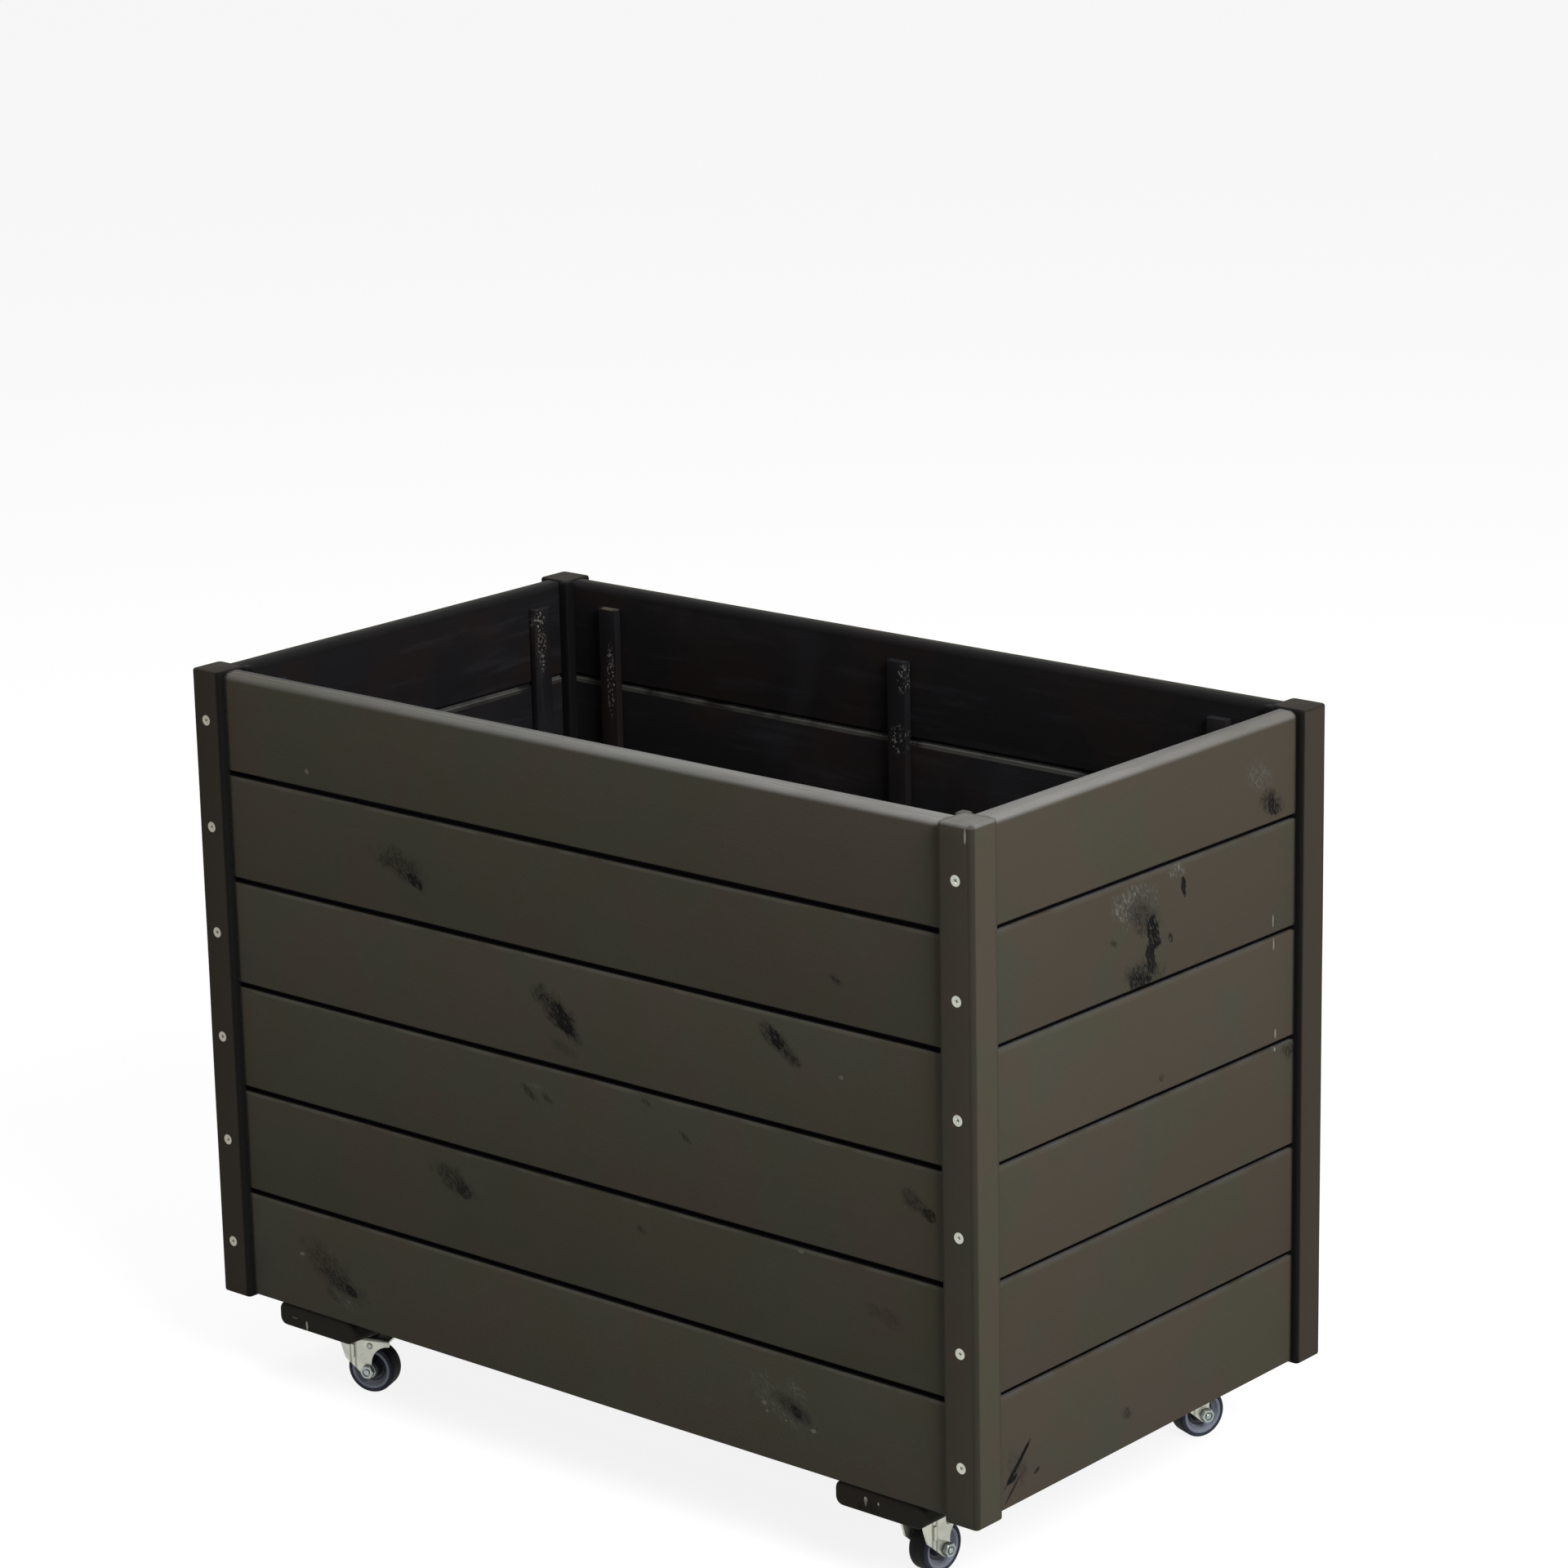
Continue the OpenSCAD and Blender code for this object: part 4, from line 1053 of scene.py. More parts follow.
class PLANTER_OT_boards(bpy.types.Operator):
    """Tongue-and-groove boards of the four walls, with rounded edges and shadow gaps"""
    bl_idname = "planter.boards"
    bl_label = "Wall boards"

    def execute(self, context):
        for number, wall in enumerate(LONG_WALLS + SHORT_WALLS):
            for k in BOARDS:
                self.board(wall, k, number * 7 + k)
        return {"FINISHED"}

    def section(self, height, top, bottom):
        """Section of a board: X outwards from its inner face, Y up from its underside"""
        wood = settings().wood
        t, r, gap = board_thickness(), wood.edge_round, wood.inner_gap
        tongue_in = (t - wood.tongue) / 2
        tongue_out, tongue_top = tongue_in + wood.tongue, height + wood.tongue_high
        outline = arc(r, r, r, 180, 270, 4)
        if not bottom:
            near, far, deep = tongue_in - wood.play, tongue_out + wood.play, wood.tongue_high + MM
            outline += [Vector(p) for p in ((near, 0), (near, deep), (far, deep), (far, 0))]
        outline += arc(t - r, r, r, 270, 360, 4)
        if top:
            rim = wood.rim_round
            outline += arc(t - rim, height - rim, rim, 0, 90, 8)
            return outline + arc(rim, height - rim, rim, 90, 180, 8)
        shoulder, inner, step = height - wood.shadow_high, height - gap, t - wood.shadow_deep
        outline += arc(t - r, shoulder - r, r, 0, 90, 4)
        outline += [Vector(p) for p in (
            (step, shoulder), (step, height), (tongue_out, height), (tongue_out, tongue_top),
            (tongue_in, tongue_top), (tongue_in, height), (gap, height), (gap, inner))]
        return outline + arc(r, inner - r, r, 90, 180, 4)

    def material(self, wall, k, seed, half, height):
        wood = settings().wood
        node, out, t = f"{wall}_board_{k}", OUTWARDS[wall], board_thickness()
        low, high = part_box(node)
        middle = (low + high) / 2
        long_wall, top = wall in LONG_WALLS, k == BOARDS[0]
        axis, across, through = ("X", 0, 1) if long_wall else ("Y", 1, 0)
        worn = TOP_SHEEN_AND_SHADE[wall] if top else 0.0
        # painted highlight on the lower edges, weaker on the short walls; painted shade in the
        # gaps, which starts deeper on the short walls where the light reaches in
        lit, rounded = (0.5, 0.15 * MM) if long_wall else (0.2, 3.2 * MM)

        def outside(*place):
            outer = (place[through] - middle[through]) * out[through]
            return outer.fade(-2 * MM, 2 * MM)

        # painted shade: near black at the board ends beside the posts, less towards the near
        # corner, in the shadow gaps and on the darkened rims
        def painted_shade(*place):
            x, y, z = place
            face = outside(*place)
            ends = abs(place[across]).fade(half - 4.0 * MM, half - 0.5 * MM) * face
            ends = ends * (0.8 - (x - y).fade(0.45, 0.52) * 0.5)
            behind = (middle[through] * out[through] + t / 2) - place[through] * out[through]
            gap = behind.fade(rounded, rounded + 0.7 * MM) * face
            if top:
                gap = gap * z.fade(high.z - 9 * MM, high.z - 11 * MM)
            ends = ends.most(gap)
            return ends.most(z.fade(high.z - 9 * MM, high.z - 3 * MM) * -worn) if worn < 0 else ends

        # the rims are rubbed grey under a painted sheen, strongest towards the near corner
        def rubbed_sheen(x, y, z):
            near = (x - y).fade(-0.3, 0.65) * 0.72 + 0.26
            return z.fade(high.z - 6.5 * MM, high.z - 2.5 * MM) * near * worn

        # painted highlight with some wear below each outer gap and on the inner step
        join = low.z + height
        worn_highlights = () if top else ((join - wood.shadow_high - 2.1 * MM, WORN_EDGE_HIGHLIGHT, lit),
                               (join - wood.inner_gap, WORN_STEP_HIGHLIGHT, 0.9))
        tone = (0.92 if long_wall else 0.87) + 0.16 * ((seed * 0.618) % 1.0)
        return stained_wood(f"stained {node.replace('_', ' ')}", axis, 1.7 * seed, tone,
                            MARKS.get(node, ()), axis, radians(45 if long_wall else 22), outside,
                            painted_shade, rubbed_sheen if worn > 0 else None, worn_highlights, 0.0 if long_wall else 0.09)

    def board(self, wall, k, seed):
        wood = settings().wood
        node, out, t = f"{wall}_board_{k}", OUTWARDS[wall], board_thickness()
        low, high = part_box(node)
        size, run = high - low, out.cross(UP)
        long_wall, top = wall in LONG_WALLS, k == BOARDS[0]
        height = high.z - low.z - (0 if top else wood.tongue_high)
        housed = wood.housed if long_wall else 0.0
        half = (size.x if long_wall else size.y) / 2 - housed
        place = (low + high) / 2 - out * (t / 2) - run * half
        place.z = low.z
        board = planed(f"wood_{node}", self.section(height, top, k == BOARDS[-1]), 0.6 * MM, 2, {
            "Length": 2 * half, "Housed": housed, "Housed Low": (t - wood.housed_thick) / 2,
            "Housed High": (t + wood.housed_thick) / 2, "Seed": 0.7 * seed, "Place": place,
            "Turn": rotation(out, UP, run).to_euler(),
            "Material": self.material(wall, k, seed, half, height)})
        hand_in(board, "planter", node)


class PLANTER_OT_battens(bpy.types.Operator):
    """Upright battens inside the walls, with worn ends"""
    bl_idname = "planter.battens"
    bl_label = "Inside battens"

    def execute(self, context):
        self.group("long_wall_battens", "X", 8.0)
        self.group("short_wall_battens", "Y", 9.3)
        return {"FINISHED"}

    def group(self, node, across, seed):
        low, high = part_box(node)
        points, (wide, thick) = self.places(node, across)
        strip = prism("strip", rectangle(-wide / 2, 0, wide / 2, thick), low.z, high.z)
        strip = plain(add_bevel(edit(strip, self.divide), 1.1 * MM, 3), "strip")
        material = stained_wood(f"stained {node.replace('_', ' ')}", "Z", seed, 1.0, MARKS[node],
                                across, outside=nowhere)
        done = set_out(f"wood_{node}", points, strip, material)
        hand_in(done, "planter", node)

    def places(self, node, across):
        """Places and turns of the battens, Y of a strip outwards, and a strip's section"""
        points = []
        for low, high in islands(node):
            middle, size = (low + high) / 2, high - low
            if across == "X":
                out = OUTWARDS["back" if middle.y > 0 else "front"]
                wide, thick = size.x, size.y
            else:
                out = OUTWARDS["right" if middle.x > 0 else "left"]
                wide, thick = size.y, size.x
            place = middle - out * (thick / 2)
            points.append((Vector((place.x, place.y, 0)), rotation(out.cross(UP), out, UP)))
        return points, (wide, thick)

    def divide(self, bm):
        """Divides the upright edges"""
        upright = [e for e in bm.edges if e.verts[0].co.xy == e.verts[1].co.xy]
        bmesh.ops.subdivide_edges(bm, edges=upright, cuts=40, use_grid_fill=True)


def set_out(name, points, piece, material, spin=0.0, seed=0, smooth=38.0):
    """Sets a piece out on (place, turn) points and gives back the plain result"""
    places, turns = zip(*points)
    base = mesh_object("points", places)
    attribute = base.data.attributes.new("turn", "FLOAT_VECTOR", "POINT")
    for item, turn in zip(attribute.data, turns):
        item.vector = turn.to_euler()
    grow(base, tree("Set out on points", set_out_tree), {
        "Piece": piece, "Spin": spin, "Seed": seed, "Material": material})
    done = plain(base, name, smooth)
    remove(piece)
    return done


class PLANTER_OT_floor(bpy.types.Operator):
    """Floor boards with drainage gaps, notched round the posts"""
    bl_idname = "planter.floor"
    bl_label = "Floor boards"

    def execute(self, context):
        posts = [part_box(f"post_{corner}") for corner in CORNERS]
        boards = []
        for low, high in islands("floor_boards"):
            made = prism("board", rectangle(low.x, low.y, high.x, high.y), low.z, high.z)
            for post_low, post_high in posts:
                if post_low.y < high.y and post_high.y > low.y:
                    notch = rectangle(post_low.x - MM, post_low.y - MM,
                                      post_high.x + MM, post_high.y + MM)
                    made = cut(made, prism("notch", notch, low.z - MM, high.z + MM))
            boards.append(plain(add_bevel(made, 1.2 * MM, 3), "board"))
        material = stained_wood("stained floor boards", "X", 12.4, outside=nowhere)
        done = paint(merged("wood_floor_boards", boards), material)
        smoothed(done.data)
        hand_in(done, "planter", "floor_boards")
        return {"FINISHED"}


class PLANTER_OT_bearers(bpy.types.Operator):
    """Two bearers across the width, with heavily rounded edges"""
    bl_idname = "planter.bearers"
    bl_label = "Bearers"

    def execute(self, context):
        for number, side in enumerate(SHORT_WALLS):
            node = f"bearer_{side}"
            low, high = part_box(node)
            size = high - low
            w, h, r = size.x, size.z, settings().wood.bearer_round
            outline = (arc(r, r, r, 180, 270, 8) + arc(w - r, r, r, 270, 360, 8)
                       + arc(w - r, h - r, r, 0, 90, 8) + arc(r, h - r, r, 90, 180, 8))
            material = stained_wood(f"stained bearer {side}", "Y", 14.2 + number, 0.3,
                                    MARKS[node], "X", radians(10))
            # the section's X is world X and its Y is up, so the run goes towards the front
            turn = rotation(RIGHT, UP, Vector((0, -1, 0)))
            done = planed(f"wood_{node}", outline, 2.5 * MM, 4, {
                "Length": size.y, "Seed": 5.0 + number, "Turn": turn.to_euler(),
                "Place": (low.x, high.y, low.z), "Material": material})
            hand_in(done, "planter", node)
        return {"FINISHED"}


def screw(head, shank, length_now, steps, round_head=0.0):
    """A screw with a cross recess: its head's rim at Z = 0, its point down. Its points carry an
    attribute of painted shade, which is high in the recess and on the rim"""
    r, s = head / 2, shank / 2
    arm, half = 0.17 * head, 0.05 * head
    points, grime = [], []
    for level in (0.10, 0.24, 0.42, 0.60, 0.78, 0.93, 1.0):
        at_rim = level == 1.0
        for x, y, z in ring_points(level * r, round_head * (1 - level * level), steps):
            short, long = sorted((abs(x), abs(y)))
            inside = short < half * (1.25 - 0.5 * level) and long < arm
            deep = 0.09 * head * (1 - 0.7 * level) if inside else 0.0
            points.append((x, y, z - deep - (0.02 * head if at_rim else 0.0)))
            grime.append(1.0 if inside else 0.8 if at_rim else 0.0)
    for radius, z in ((r, -0.05 * head), (s, s - r - 0.05 * head), (s, 4 * MM - length_now),
                      (0.5 * s, 1.5 * MM - length_now)):
        points += ring_points(radius, z, steps)
        grime += [0.3] * steps
    rings = [range(i, i + steps) for i in range(0, len(points), steps)]
    top, tip = len(points), len(points) + 1
    points += [(0, 0, round_head - 0.10 * head), (0, 0, -length_now)]
    grime += [1.0, 0.3]
    faces = []
    for i in range(steps):
        j = (i + 1) % steps
        faces += [(inner[i], outer[i], outer[j], inner[j])
                  for outer, inner in zip(rings[1:], rings)]
        faces += [(top, rings[0][i], rings[0][j]), (tip, rings[-1][j], rings[-1][i])]
    return write_values(mesh_object("screw", points, faces), "grime", grime)


def screw_metal(name, base, painted_shade):
    """Plated steel with painted shade in the recess and round the rim of the head"""

    def build(graph, place):
        grime = graph.node("ShaderNodeAttribute", {"attribute_name": "grime"}, None, "Fac")
        cloud = graph.noise(place, 260, 3, 0.6)
        clean = graph.mix(cloud.fade(0.35, 0.75), base, Vector(base) * 0.8)
        # painted shade: the heads on the side away from the key light are darkened towards brown
        far_side_shade = graph.split(place)[0].fade(0.0, -0.3)
        clean = graph.mix(far_side_shade * 0.55, clean, Vector(settings().finish.russet) * 3.4)
        return {
            "Base Color": graph.mix(grime.fade(0.2, 0.9) * 0.55, clean, painted_shade),
            "Roughness": grime * 0.4 + (cloud * 0.15 + 0.26),
            "Metallic": (1 - grime) * 0.85,
            "Normal": bumps(graph, cloud, 0.2 * MM, 0.3),
        }

    return shader(name, {}, build)


class PLANTER_OT_screws(bpy.types.Operator):
    """Countersunk screws of the posts, battens and bearers, and the caster plates' screws"""
    bl_idname = "planter.screws"
    bl_label = "Screws"

    def execute(self, context):
        sizes, finish = settings().screws, settings().finish
        # near black for the painted shade on the screw heads
        painted_shade = Vector(finish.knot_and_shade) * 2
        bright = screw_metal("zinc screws", finish.zinc, painted_shade)
        dark = screw_metal("blackened screws", finish.steel, painted_shade)
        for side in LONG_WALLS:
            out = OUTWARDS[side]
            turn = rotation(RIGHT, out.cross(RIGHT), out)
            self.group(f"{side}_post_screws", sizes.post_head, sizes.post_shank, bright, turn, 32)
        self.battens(dark)
        down = rotation(RIGHT, Vector((0, -1, 0)), DOWN)
        self.group("bearer_screws", sizes.wood_head, sizes.wood_shank, bright, down, 16)
        head, head_high = ROUND_HEAD
        self.group("caster_screws", head, sizes.post_shank, bright, down, 20, head_high)
        return {"FINISHED"}

    def group(self, node, head, shank, material, turn, steps, round_head=0.0):
        """Screws that all point the same way"""
        boxes = islands(node)
        out = turn @ UP
        long_now = abs((boxes[0][1] - boxes[0][0]).dot(out)) - round_head
        points = [(facing(low, high, out) - out * (round_head + HEAD_INSET), turn)
                  for low, high in boxes]
        made = screw(head, shank, long_now - POINT_SHORT, steps, round_head)
        seed = settings().screws.seed
        hand_in(set_out(f"metal_{node}", points, made, material, pi / 2, seed, 30),
                "planter", node)

    def battens(self, material):
        """The screws of the battens, their heads inside the box"""
        sizes = settings().screws
        points = []
        for low, high in islands("batten_screws"):
            middle, size = (low + high) / 2, high - low
            if size.y > size.x:
                out = OUTWARDS["front" if middle.y > 0 else "back"]
            else:
                out = OUTWARDS["left" if middle.x > 0 else "right"]
            long_now = max(size.x, size.y)
            points.append((facing(low, high, out) - out * HEAD_INSET,
                           rotation(UP, out.cross(UP), out)))
        made = screw(sizes.wood_head, sizes.wood_shank, long_now - POINT_SHORT, 16)
        done = set_out("metal_batten_screws", points, made, material, pi / 2, sizes.seed + 1, 30)
        hand_in(done, "planter", "batten_screws")


class PLANTER_OT_forks(bpy.types.Operator):
    """Forks of the casters: a strip bent down on both sides of the wheel, with a raised race"""
    bl_idname = "planter.forks"
    bl_label = "Caster forks"

    def execute(self, context):
        zinc = settings().finish.zinc
        for corner in CORNERS:
            node = f"caster_fork_{corner}"
            fork = moved(self.fork(corner), swivel_place(corner))
            fork.name = f"metal_{node}"
            paint(fork, plated(f"zinc fork {corner}", zinc, 0.36, fork_shade=self.fork_shade(corner)))
            hand_in(fork, f"swivel_{corner}", node)
        return {"FINISHED"}

    def fork_shade(self, corner):
        """The mask of painted shade beside the ribs, round the dimples and on the crown's top"""
        c, place = settings().casters, swivel_place(corner)
        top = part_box(f"caster_fork_{corner}")[1].z - c.race_high
        start, along = place.translation, place.to_3x3() @ RIGHT

        def mask(x, y, z):
            run = (x - start.x) * along.x + (y - start.y) * along.y
            beside = abs(run - c.rib_place)
            rib = beside.fade(1.0 * MM, 1.5 * MM) * beside.fade(3.8 * MM, 2.4 * MM) * 0.5
            far = ((run - DIMPLE_ALONG) ** 2 + (z - (top - DIMPLE_DOWN)) ** 2) ** 0.5
            dimple = far.fade(3.1 * MM, 2.6 * MM) * (far.fade(0.9 * MM, 1.9 * MM) * 0.35 + 0.25)
            return rib.most(dimple).most(z.fade(top - 0.6 * MM, top - 0.1 * MM) * 0.93)

        return mask

    def fork(self, corner):
        c = settings().casters
        dome_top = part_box(f"caster_fork_{corner}")[1].z
        crown_top, axle, outer = dome_top - c.race_high, axle_height(corner), cheek_outer()
        strip = prism("strip", self.strip(outer, crown_top), -c.crown_front - MM, c.crown_back + MM)
        moved(strip, rotation(Vector((0, 1, 0)), UP, RIGHT).to_4x4())
        side = prism("side", self.side(axle, crown_top), -outer - MM, outer + MM)
        moved(side, Matrix.Rotation(pi / 2, 4, "X"))
        body = cut(strip, side, "INTERSECT")
        under = crown_top - c.sheet / 2
        race = [(0, under), (c.race + 1.2 * MM, under)]
        race += profile(((1.2, 0.1), (0.4, 0.7)), crown_top, c.race)
        race += profile(((0, -0.5), (-0.6, 0)), dome_top, c.race) + [(0, dome_top)]
        body = cut(body, turned("race", race, 48), "UNION")
        pin, above = c.king / 2 + HOLE_PLAY, dome_top + MM
        body = cut(body, turned("pin", [(0, axle), (pin, axle), (pin, above), (0, above)], 32))
        for sign in (-1, 1):
            body = cut(body, self.rib(sign, outer, axle, crown_top), "UNION")
            body = cut(body, self.dimple(sign, outer, crown_top), "UNION")
        return plain(add_bevel(body, 0.35 * MM, 2, 32), "fork", 32)

    def strip(self, outer, crown_top):
        """The bent strip from the end: X outwards, Y up"""
        c = settings().casters
        inner, below, r = outer - c.sheet, crown_top - c.sheet, c.bend
        outline = [Vector((-outer, 0))] + arc(-outer + r, crown_top - r, r, 180, 90)
        outline += arc(outer - r, crown_top - r, r, 90, 0)
        outline += [Vector((outer, 0)), Vector((inner, 0))]
        r -= c.sheet
        outline += arc(inner - r, below - r, r, 0, 90, 4)
        outline += arc(-inner + r, below - r, r, 90, 180, 4) + [Vector((-inner, 0))]
        return outline

    def side(self, axle, crown_top):
        """The fork from the side: X towards the axle, Y up"""
        c = settings().casters
        tip = crown_top - c.tip
        knee = Vector((c.knee_in - c.crown_front, axle + c.knee_high))
        middle = Vector((c.trail, axle))
        to = middle - knee
        touch = degrees(atan2(to.y, to.x) - asin(c.boss / to.length)) - 90
        flare = c.crown_back - (c.trail + c.boss / 2)
        outline = [Vector((-c.crown_front, tip)), Vector((-c.crown_front, crown_top)),
                   Vector((c.crown_back, crown_top))]
        outline += arc(c.crown_back, tip - flare, flare, 90, 180, 8)
        return outline + arc(middle.x, middle.y, c.boss, 60, touch, 18) + [knee]

    def rib(self, sign, outer, axle, crown_top):
        c, r = settings().casters, RIB_R
        low, high = axle + c.boss + RIB_ABOVE, crown_top - c.sheet - c.bend - r
        outline = [(0, low - r)] + arc(0, low, r, -60, 0, 4)
        outline += arc(0, high, r, 0, 60, 4) + [(0, high + r)]
        return moved(turned("rib", outline, 20),
                     Matrix.Translation((c.rib_place, sign * outer, 0)))

    def dimple(self, sign, outer, crown_top):
        """A shallow round dimple pressed outwards near the top of a cheek"""
        cap = profile(((0, -0.5), (2.6, -0.5), (2.4, 0.2), (1.7, 0.55), (0, 0.6)))
        turn = rotation(RIGHT, Vector((0, 0, -sign)), Vector((0, sign, 0))).to_4x4()
        place = Matrix.Translation((DIMPLE_ALONG, sign * outer, crown_top - DIMPLE_DOWN))
        return moved(turned("dimple", cap, 24), place @ turn)


class PLANTER_OT_axles(bpy.types.Operator):
    """Axle bolts with a flanged head, and their nuts"""
    bl_idname = "planter.axles"
    bl_label = "Axle bolts"

    def execute(self, context):
        finish = settings().finish
        bright = plated("zinc bolts", finish.bolt, 0.30)
        # painted shade: the flanges get a darker copy of the bolts' plating
        shaded = plated("zinc washers", Vector(finish.bolt) * 0.3, 0.45)
        for corner in CORNERS:
            node = f"caster_axle_{corner}"
            bolt = plain(self.bolt(bright, shaded), f"metal_{node}", 30)
            hand_in(moved(bolt, axle_place(corner)), f"swivel_{corner}", node)
        return {"FINISHED"}

    def bolt(self, bright, shaded):
        """A bolt with its flange and nut along Z"""
        outer = cheek_outer()
        cup = profile(((0, 2.6), (3.3, 2.6), (3.5, 5), (0, 5)), outer)
        head = cut(self.hexagon(outer + 1.0 * MM, outer + 4.0 * MM), turned("cup", cup, 32))
        flange = turned("flange", profile(((0, 0), (5.2, 0), (5.6, 0.3), (5.3, 0.9), (4.6, 1.1),
                                           (0, 1.1)), outer), 40)
        nut = self.hexagon(-outer - 4 * MM, -outer)
        shank = turned("shank", profile(((0, -4.95), (2.4, -4.95), (3, -4.4)), -outer)
                       + profile(((3, 1.1), (2.5, 2.2), (2.4, 4.2), (1.6, 4.8), (0, 4.95)), outer),
                       32)
        for one in (head, nut, shank):
            paint(one, bright)
        return merged("bolt", [head, paint(flange, shaded), nut, shank])

    def hexagon(self, low, high):
        """A hexagon with its corners turned off at the outer end"""
        flat = 5 * MM
        r = flat / cos(pi / 6)
        corners = [Vector((x, y)) for x, y, _ in ring_points(r, 0, 6)]
        body = prism("hexagon", corners, low, high)
        inner, outer = sorted((low, high), key=abs)
        sign = 1 if outer > inner else -1
        start, end = inner - sign * MM, outer + sign * 0.02 * MM
        limit = [(0, start), (r + MM, start), (r + MM, outer - sign * 1.6 * MM),
                 (flat - 0.1 * MM, end), (0, end)]
        return cut(body, turned("limit", limit, 36), "INTERSECT")


class PLANTER_OT_wheels(bpy.types.Operator):
    """Grey wheel centres with a hub, web and rim, and their rubber tyres"""
    bl_idname = "planter.wheels"
    bl_label = "Wheels"

    def execute(self, context):
        finish = settings().finish
        # painted shade: the dark dish colour, with the grey rim colour on the ring
        plastic = moulded("grey wheel", finish.shaded_dish, 0.36, finish.wheel)
        # painted sheen on the tyres' shoulders, with a little real dust
        rubber = moulded("tyre rubber", finish.rubber, 0.7, finish.shoulder, 0.04, 0.15)
        low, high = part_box("caster_tyre_front_left")
        wheel_r = (high.z - low.z) / 2
        for corner in CORNERS:
            for what, kind, make, material, slot_name in (
                    ("wheel", "plastic", self.centre, plastic, "grey_wheel"),
                    ("tyre", "rubber", self.tyre, rubber, "tyre_rubber")):
                node = f"caster_{what}_{corner}"
                made = paint(moved(make(wheel_r), axle_place(corner)), material)
                made.name = f"{kind}_{node}"
                hand_in(made, f"wheel_{corner}", node)
        return {"FINISHED"}

    def centre(self, wheel_r):
        c = settings().casters
        rim, rim_in = wheel_r - c.tyre, wheel_r - c.tyre - 2.8 * MM
        hub_half, rim_half, web = 9.9 * MM, 8.25 * MM, 2.5 * MM
        half = profile(((3.05, -0.3), (3.4, 0)), hub_half)
        half += profile(((-0.7, 0), (0, -0.7)), hub_half, c.hub)
        half += profile(((0.4, 1.2), (1.2, 0)), web, c.hub)
        half += profile(((-4.2, 0), (-2.9, 1.0), (-2.5, 1.3)), web, rim_in)
        half += profile(((-0.5, -1.8), (0, -0.6), (0.5, 0)), rim_half, rim_in)
        half += profile(((-0.4, 0), (0, -0.3)), rim_half, rim)
        made = turned("centre", mirrored(half), 72)
        # the ring gives the grey rim colour to the rim and, as painted light, to the outer web; the
        # rest keeps the dish's painted shade
        return plain(ringed(made, lambda r, z: r > rim_in - 2.6 * MM), "centre", 50)

    def tyre(self, wheel_r):
        c = settings().casters
        half, rounding = 9 * MM, 3 * MM
        side = profile(((0, -0.35), (0.3, 0)), half, wheel_r - c.tyre)
        side += arc(wheel_r - rounding, half - rounding, rounding, 90, 12, 7)
        side += profile(((-0.02, 3.4), (0, 1.2), (-0.02, 0.35), (-0.16, 0.18)), 0.0, wheel_r)
        made = turned("tyre", mirrored(side), 96)
        # the ring marks the shoulders for their painted sheen
        return plain(ringed(made, lambda r, z: abs(z) > half - 1.6 * MM), "tyre", 50)


class PLANTER_OT_fittings(bpy.types.Operator):
    """Finish of the caster plates, king pins and balls, which keep their own shapes"""
    bl_idname = "planter.fittings"
    bl_label = "Plates, pins and balls"

    def execute(self, context):
        finish = settings().finish
        # painted shade: the plates and king pins, in the shade under the bearers, get half the zinc
        # colour
        zinc = plated("zinc plate", Vector(finish.zinc) * 0.5, 0.40)
        steel = plated("dark steel", finish.steel, 0.35)
        for name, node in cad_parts.items():
            if name.startswith("caster_plate_") or name == "caster_king_pins":
                material = zinc
            elif name == "caster_balls":
                material = steel
            else:
                continue
            if not node.data.materials:
                node.data.materials.append(material)
            for slot_now in node.material_slots:
                slot_now.material = material
        return {"FINISHED"}


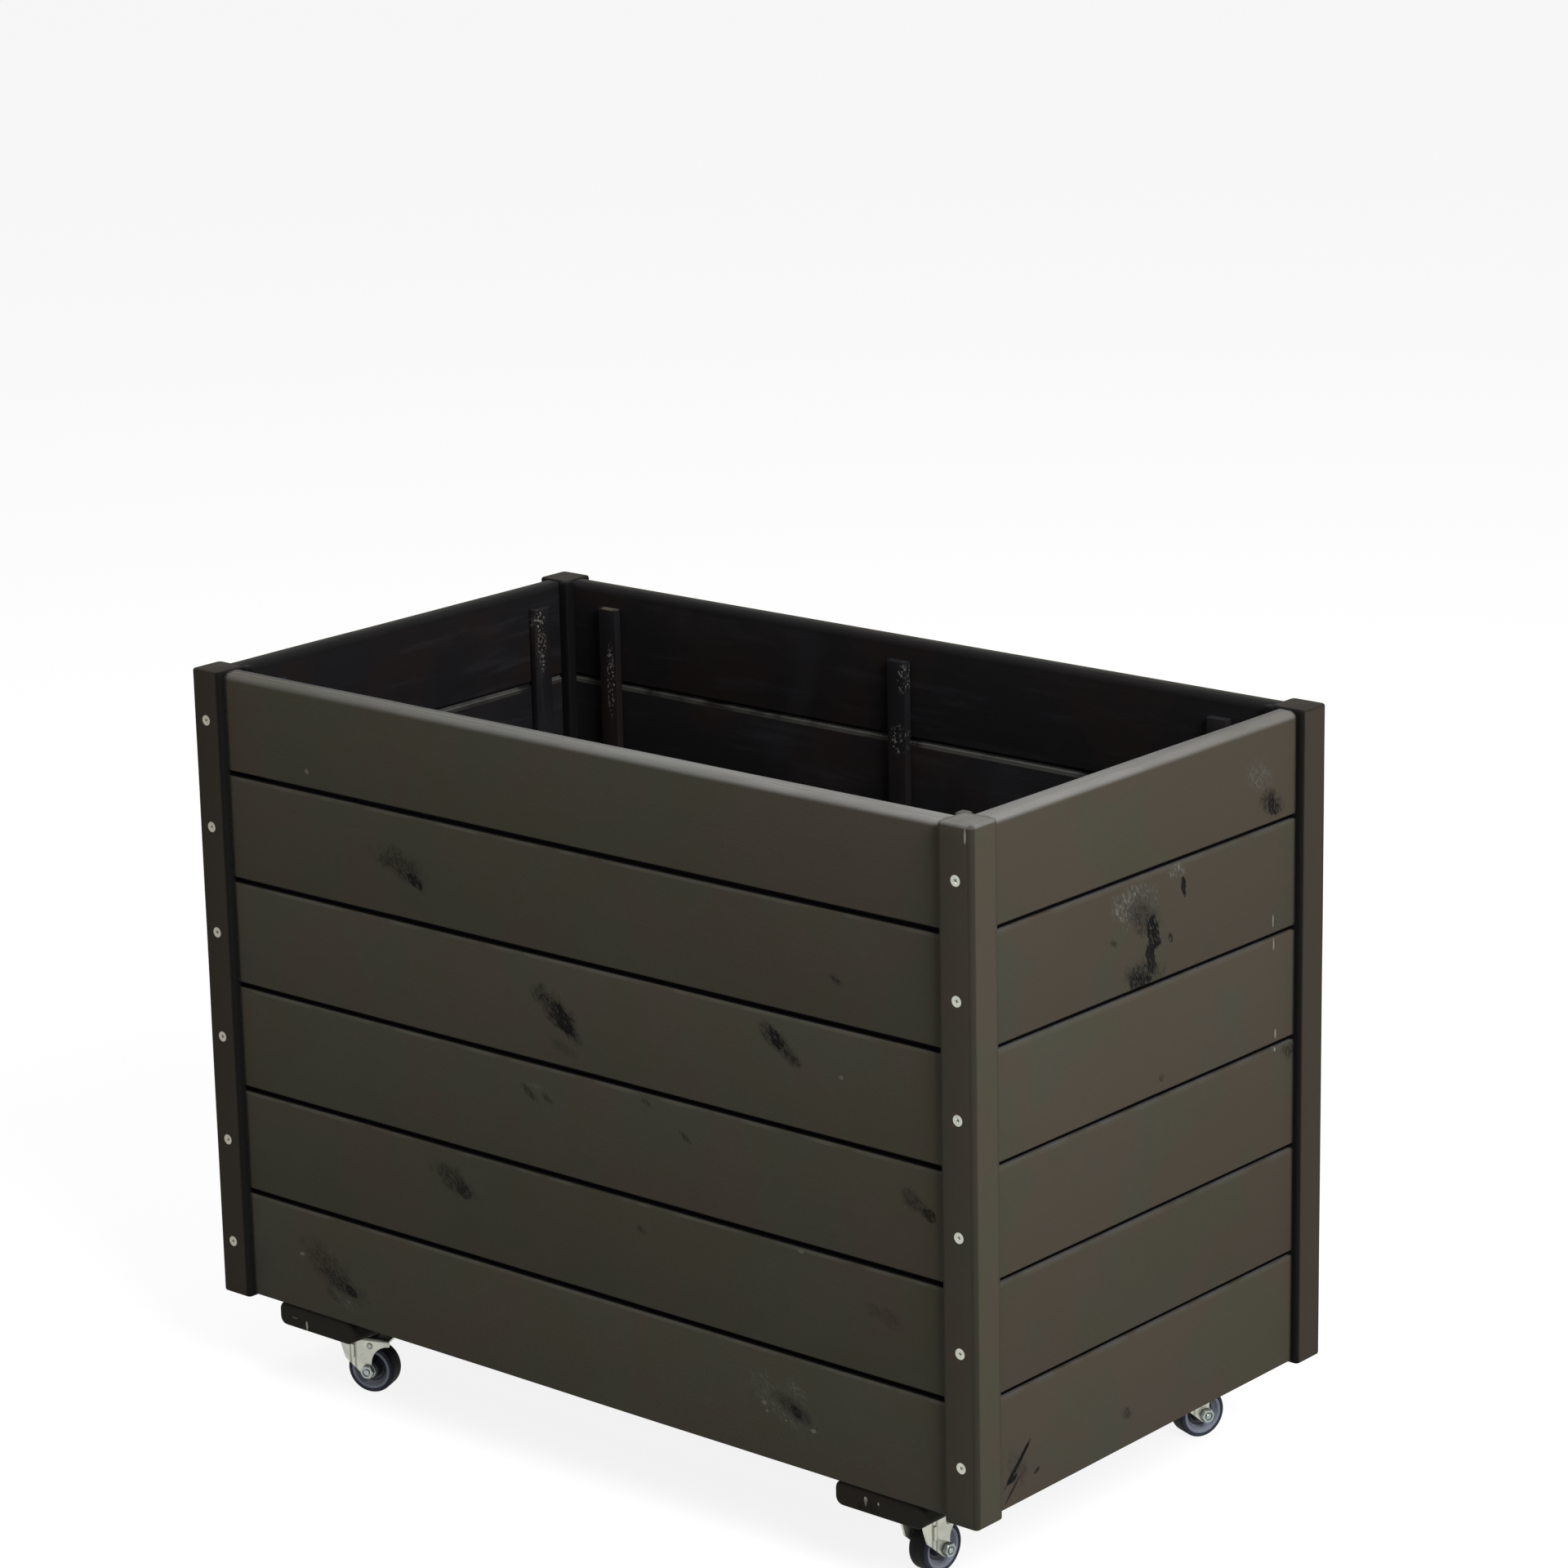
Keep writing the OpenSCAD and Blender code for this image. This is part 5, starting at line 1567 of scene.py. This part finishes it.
class PLANTER_OT_stage(bpy.types.Operator):
    """Pale floor, plain soft studio light and the camera at the photograph's angle"""
    bl_idname = "planter.stage"
    bl_label = "Stage"

    def execute(self, context):
        self.floor()
        self.world()
        self.lamp("key light", (3.1, -1.1, 2.7), 1.6, 170)
        self.lamp("top light", (-0.4, 0.5, 3.8), 3.2, 60)
        self.camera()
        context.scene.view_settings.view_transform = "Standard"
        return {"FINISHED"}

    def floor(self):
        """White to the camera, but dull to the light that it throws back on the planter"""
        size = 20.0
        floor = mesh_object("stage_floor", [p.to_3d() for p in rectangle(-size, -size, size, size)],
                            [(0, 1, 2, 3)])
        material = bpy.data.materials.new("pale floor")
        graph = emptied(material)
        paper = graph.node("ShaderNodeBsdfDiffuse", None, {"Color": (0.80, 0.80, 0.80, 1)})
        dull = graph.node("ShaderNodeBsdfDiffuse", None, {"Color": (0.38, 0.38, 0.38, 1)})
        glow = graph.node("ShaderNodeEmission", None, {"Color": (1, 1, 1, 1), "Strength": 1.15})
        bright = graph.node("ShaderNodeMixShader", None, {0: 0.76, 1: paper, 2: glow})
        both = graph.node("ShaderNodeMixShader", None, {0: self.seen(graph), 1: dull, 2: bright})
        graph.node("ShaderNodeOutputMaterial", None, {"Surface": both})
        floor.data.materials.append(material)

    def seen(self, graph):
        """1 for what the camera sees, directly or in gloss or glass"""
        camera, glossy, clear = graph.node("ShaderNodeLightPath", None, None, (
            "Is Camera Ray", "Is Glossy Ray", "Is Transmission Ray"))
        return camera.most(glossy).most(clear)

    def world(self):
        world = bpy.data.worlds.new("studio")
        bpy.context.scene.world = world
        graph = emptied(world)
        backdrop = graph.node("ShaderNodeBackground", None, {
            "Color": (1, 1, 1, 1), "Strength": self.seen(graph) * 0.75 + 0.25})
        graph.node("ShaderNodeOutputWorld", None, {"Surface": backdrop})

    def lamp(self, name, place, size, watts):
        data = bpy.data.lights.new(name, "AREA")
        data.shape = "SQUARE"
        data.size = size
        data.energy = watts
        lamp = linked(name, data)
        lamp.location = place
        aim = Vector((0, 0, 0.3)) - Vector(place)
        lamp.rotation_euler = aim.to_track_quat("-Z", "Y").to_euler()

    def camera(self):
        data = bpy.data.cameras.new("camera")
        data.sensor_width = 36.0
        data.lens = 109.96
        camera = linked("camera", data)
        azimuth, elevation, roll = radians(40.734), radians(15.119), radians(-1.132)
        level = Vector((cos(azimuth), sin(azimuth), 0))
        ahead = Vector((-sin(azimuth), cos(azimuth), 0))
        back = UP * sin(elevation) - ahead * cos(elevation)
        across = level * cos(roll) + back.cross(level) * sin(roll)
        place = rotation(across, back.cross(across), back).to_4x4()
        place.translation = (2.3478, -2.6831, 1.4799)
        camera.matrix_world = place
        bpy.context.scene.camera = camera


class PLANTER_PT_sidebar(bpy.types.Panel):
    """Sizes, colours and steps of the planter"""
    bl_idname = "PLANTER_PT_sidebar"
    bl_label = "Rolling planter"
    bl_space_type = "VIEW_3D"
    bl_region_type = "UI"
    bl_category = "Planter"

    def draw(self, context):
        layout = self.layout
        for group in ("wood", "screws", "casters", "finish"):
            box = layout.box()
            box.label(text=group.capitalize())
            values = getattr(context.scene.planter, group)
            for name in values.__annotations__:
                box.prop(values, name)
        for step in STEPS:
            layout.operator(step.bl_idname)


STEPS = (
    PLANTER_OT_posts, PLANTER_OT_boards, PLANTER_OT_battens, PLANTER_OT_floor, PLANTER_OT_bearers,
    PLANTER_OT_screws, PLANTER_OT_forks, PLANTER_OT_axles, PLANTER_OT_wheels, PLANTER_OT_fittings,
    PLANTER_OT_stage,
)
CLASSES = (
    PLANTER_PG_wood, PLANTER_PG_screws, PLANTER_PG_casters, PLANTER_PG_finish, PLANTER_PG_settings,
    *STEPS, PLANTER_PT_sidebar,
)


def register():
    for cls in CLASSES:
        bpy.utils.register_class(cls)
    bpy.types.Scene.planter = PointerProperty(type=PLANTER_PG_settings)


def unregister():
    del bpy.types.Scene.planter
    for cls in reversed(CLASSES):
        bpy.utils.unregister_class(cls)


def main():
    """Registers the add-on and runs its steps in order"""
    register()
    for step in STEPS:
        group, name = step.bl_idname.split(".")
        getattr(getattr(bpy.ops, group), name)()


if __name__ == "__main__":
    main()
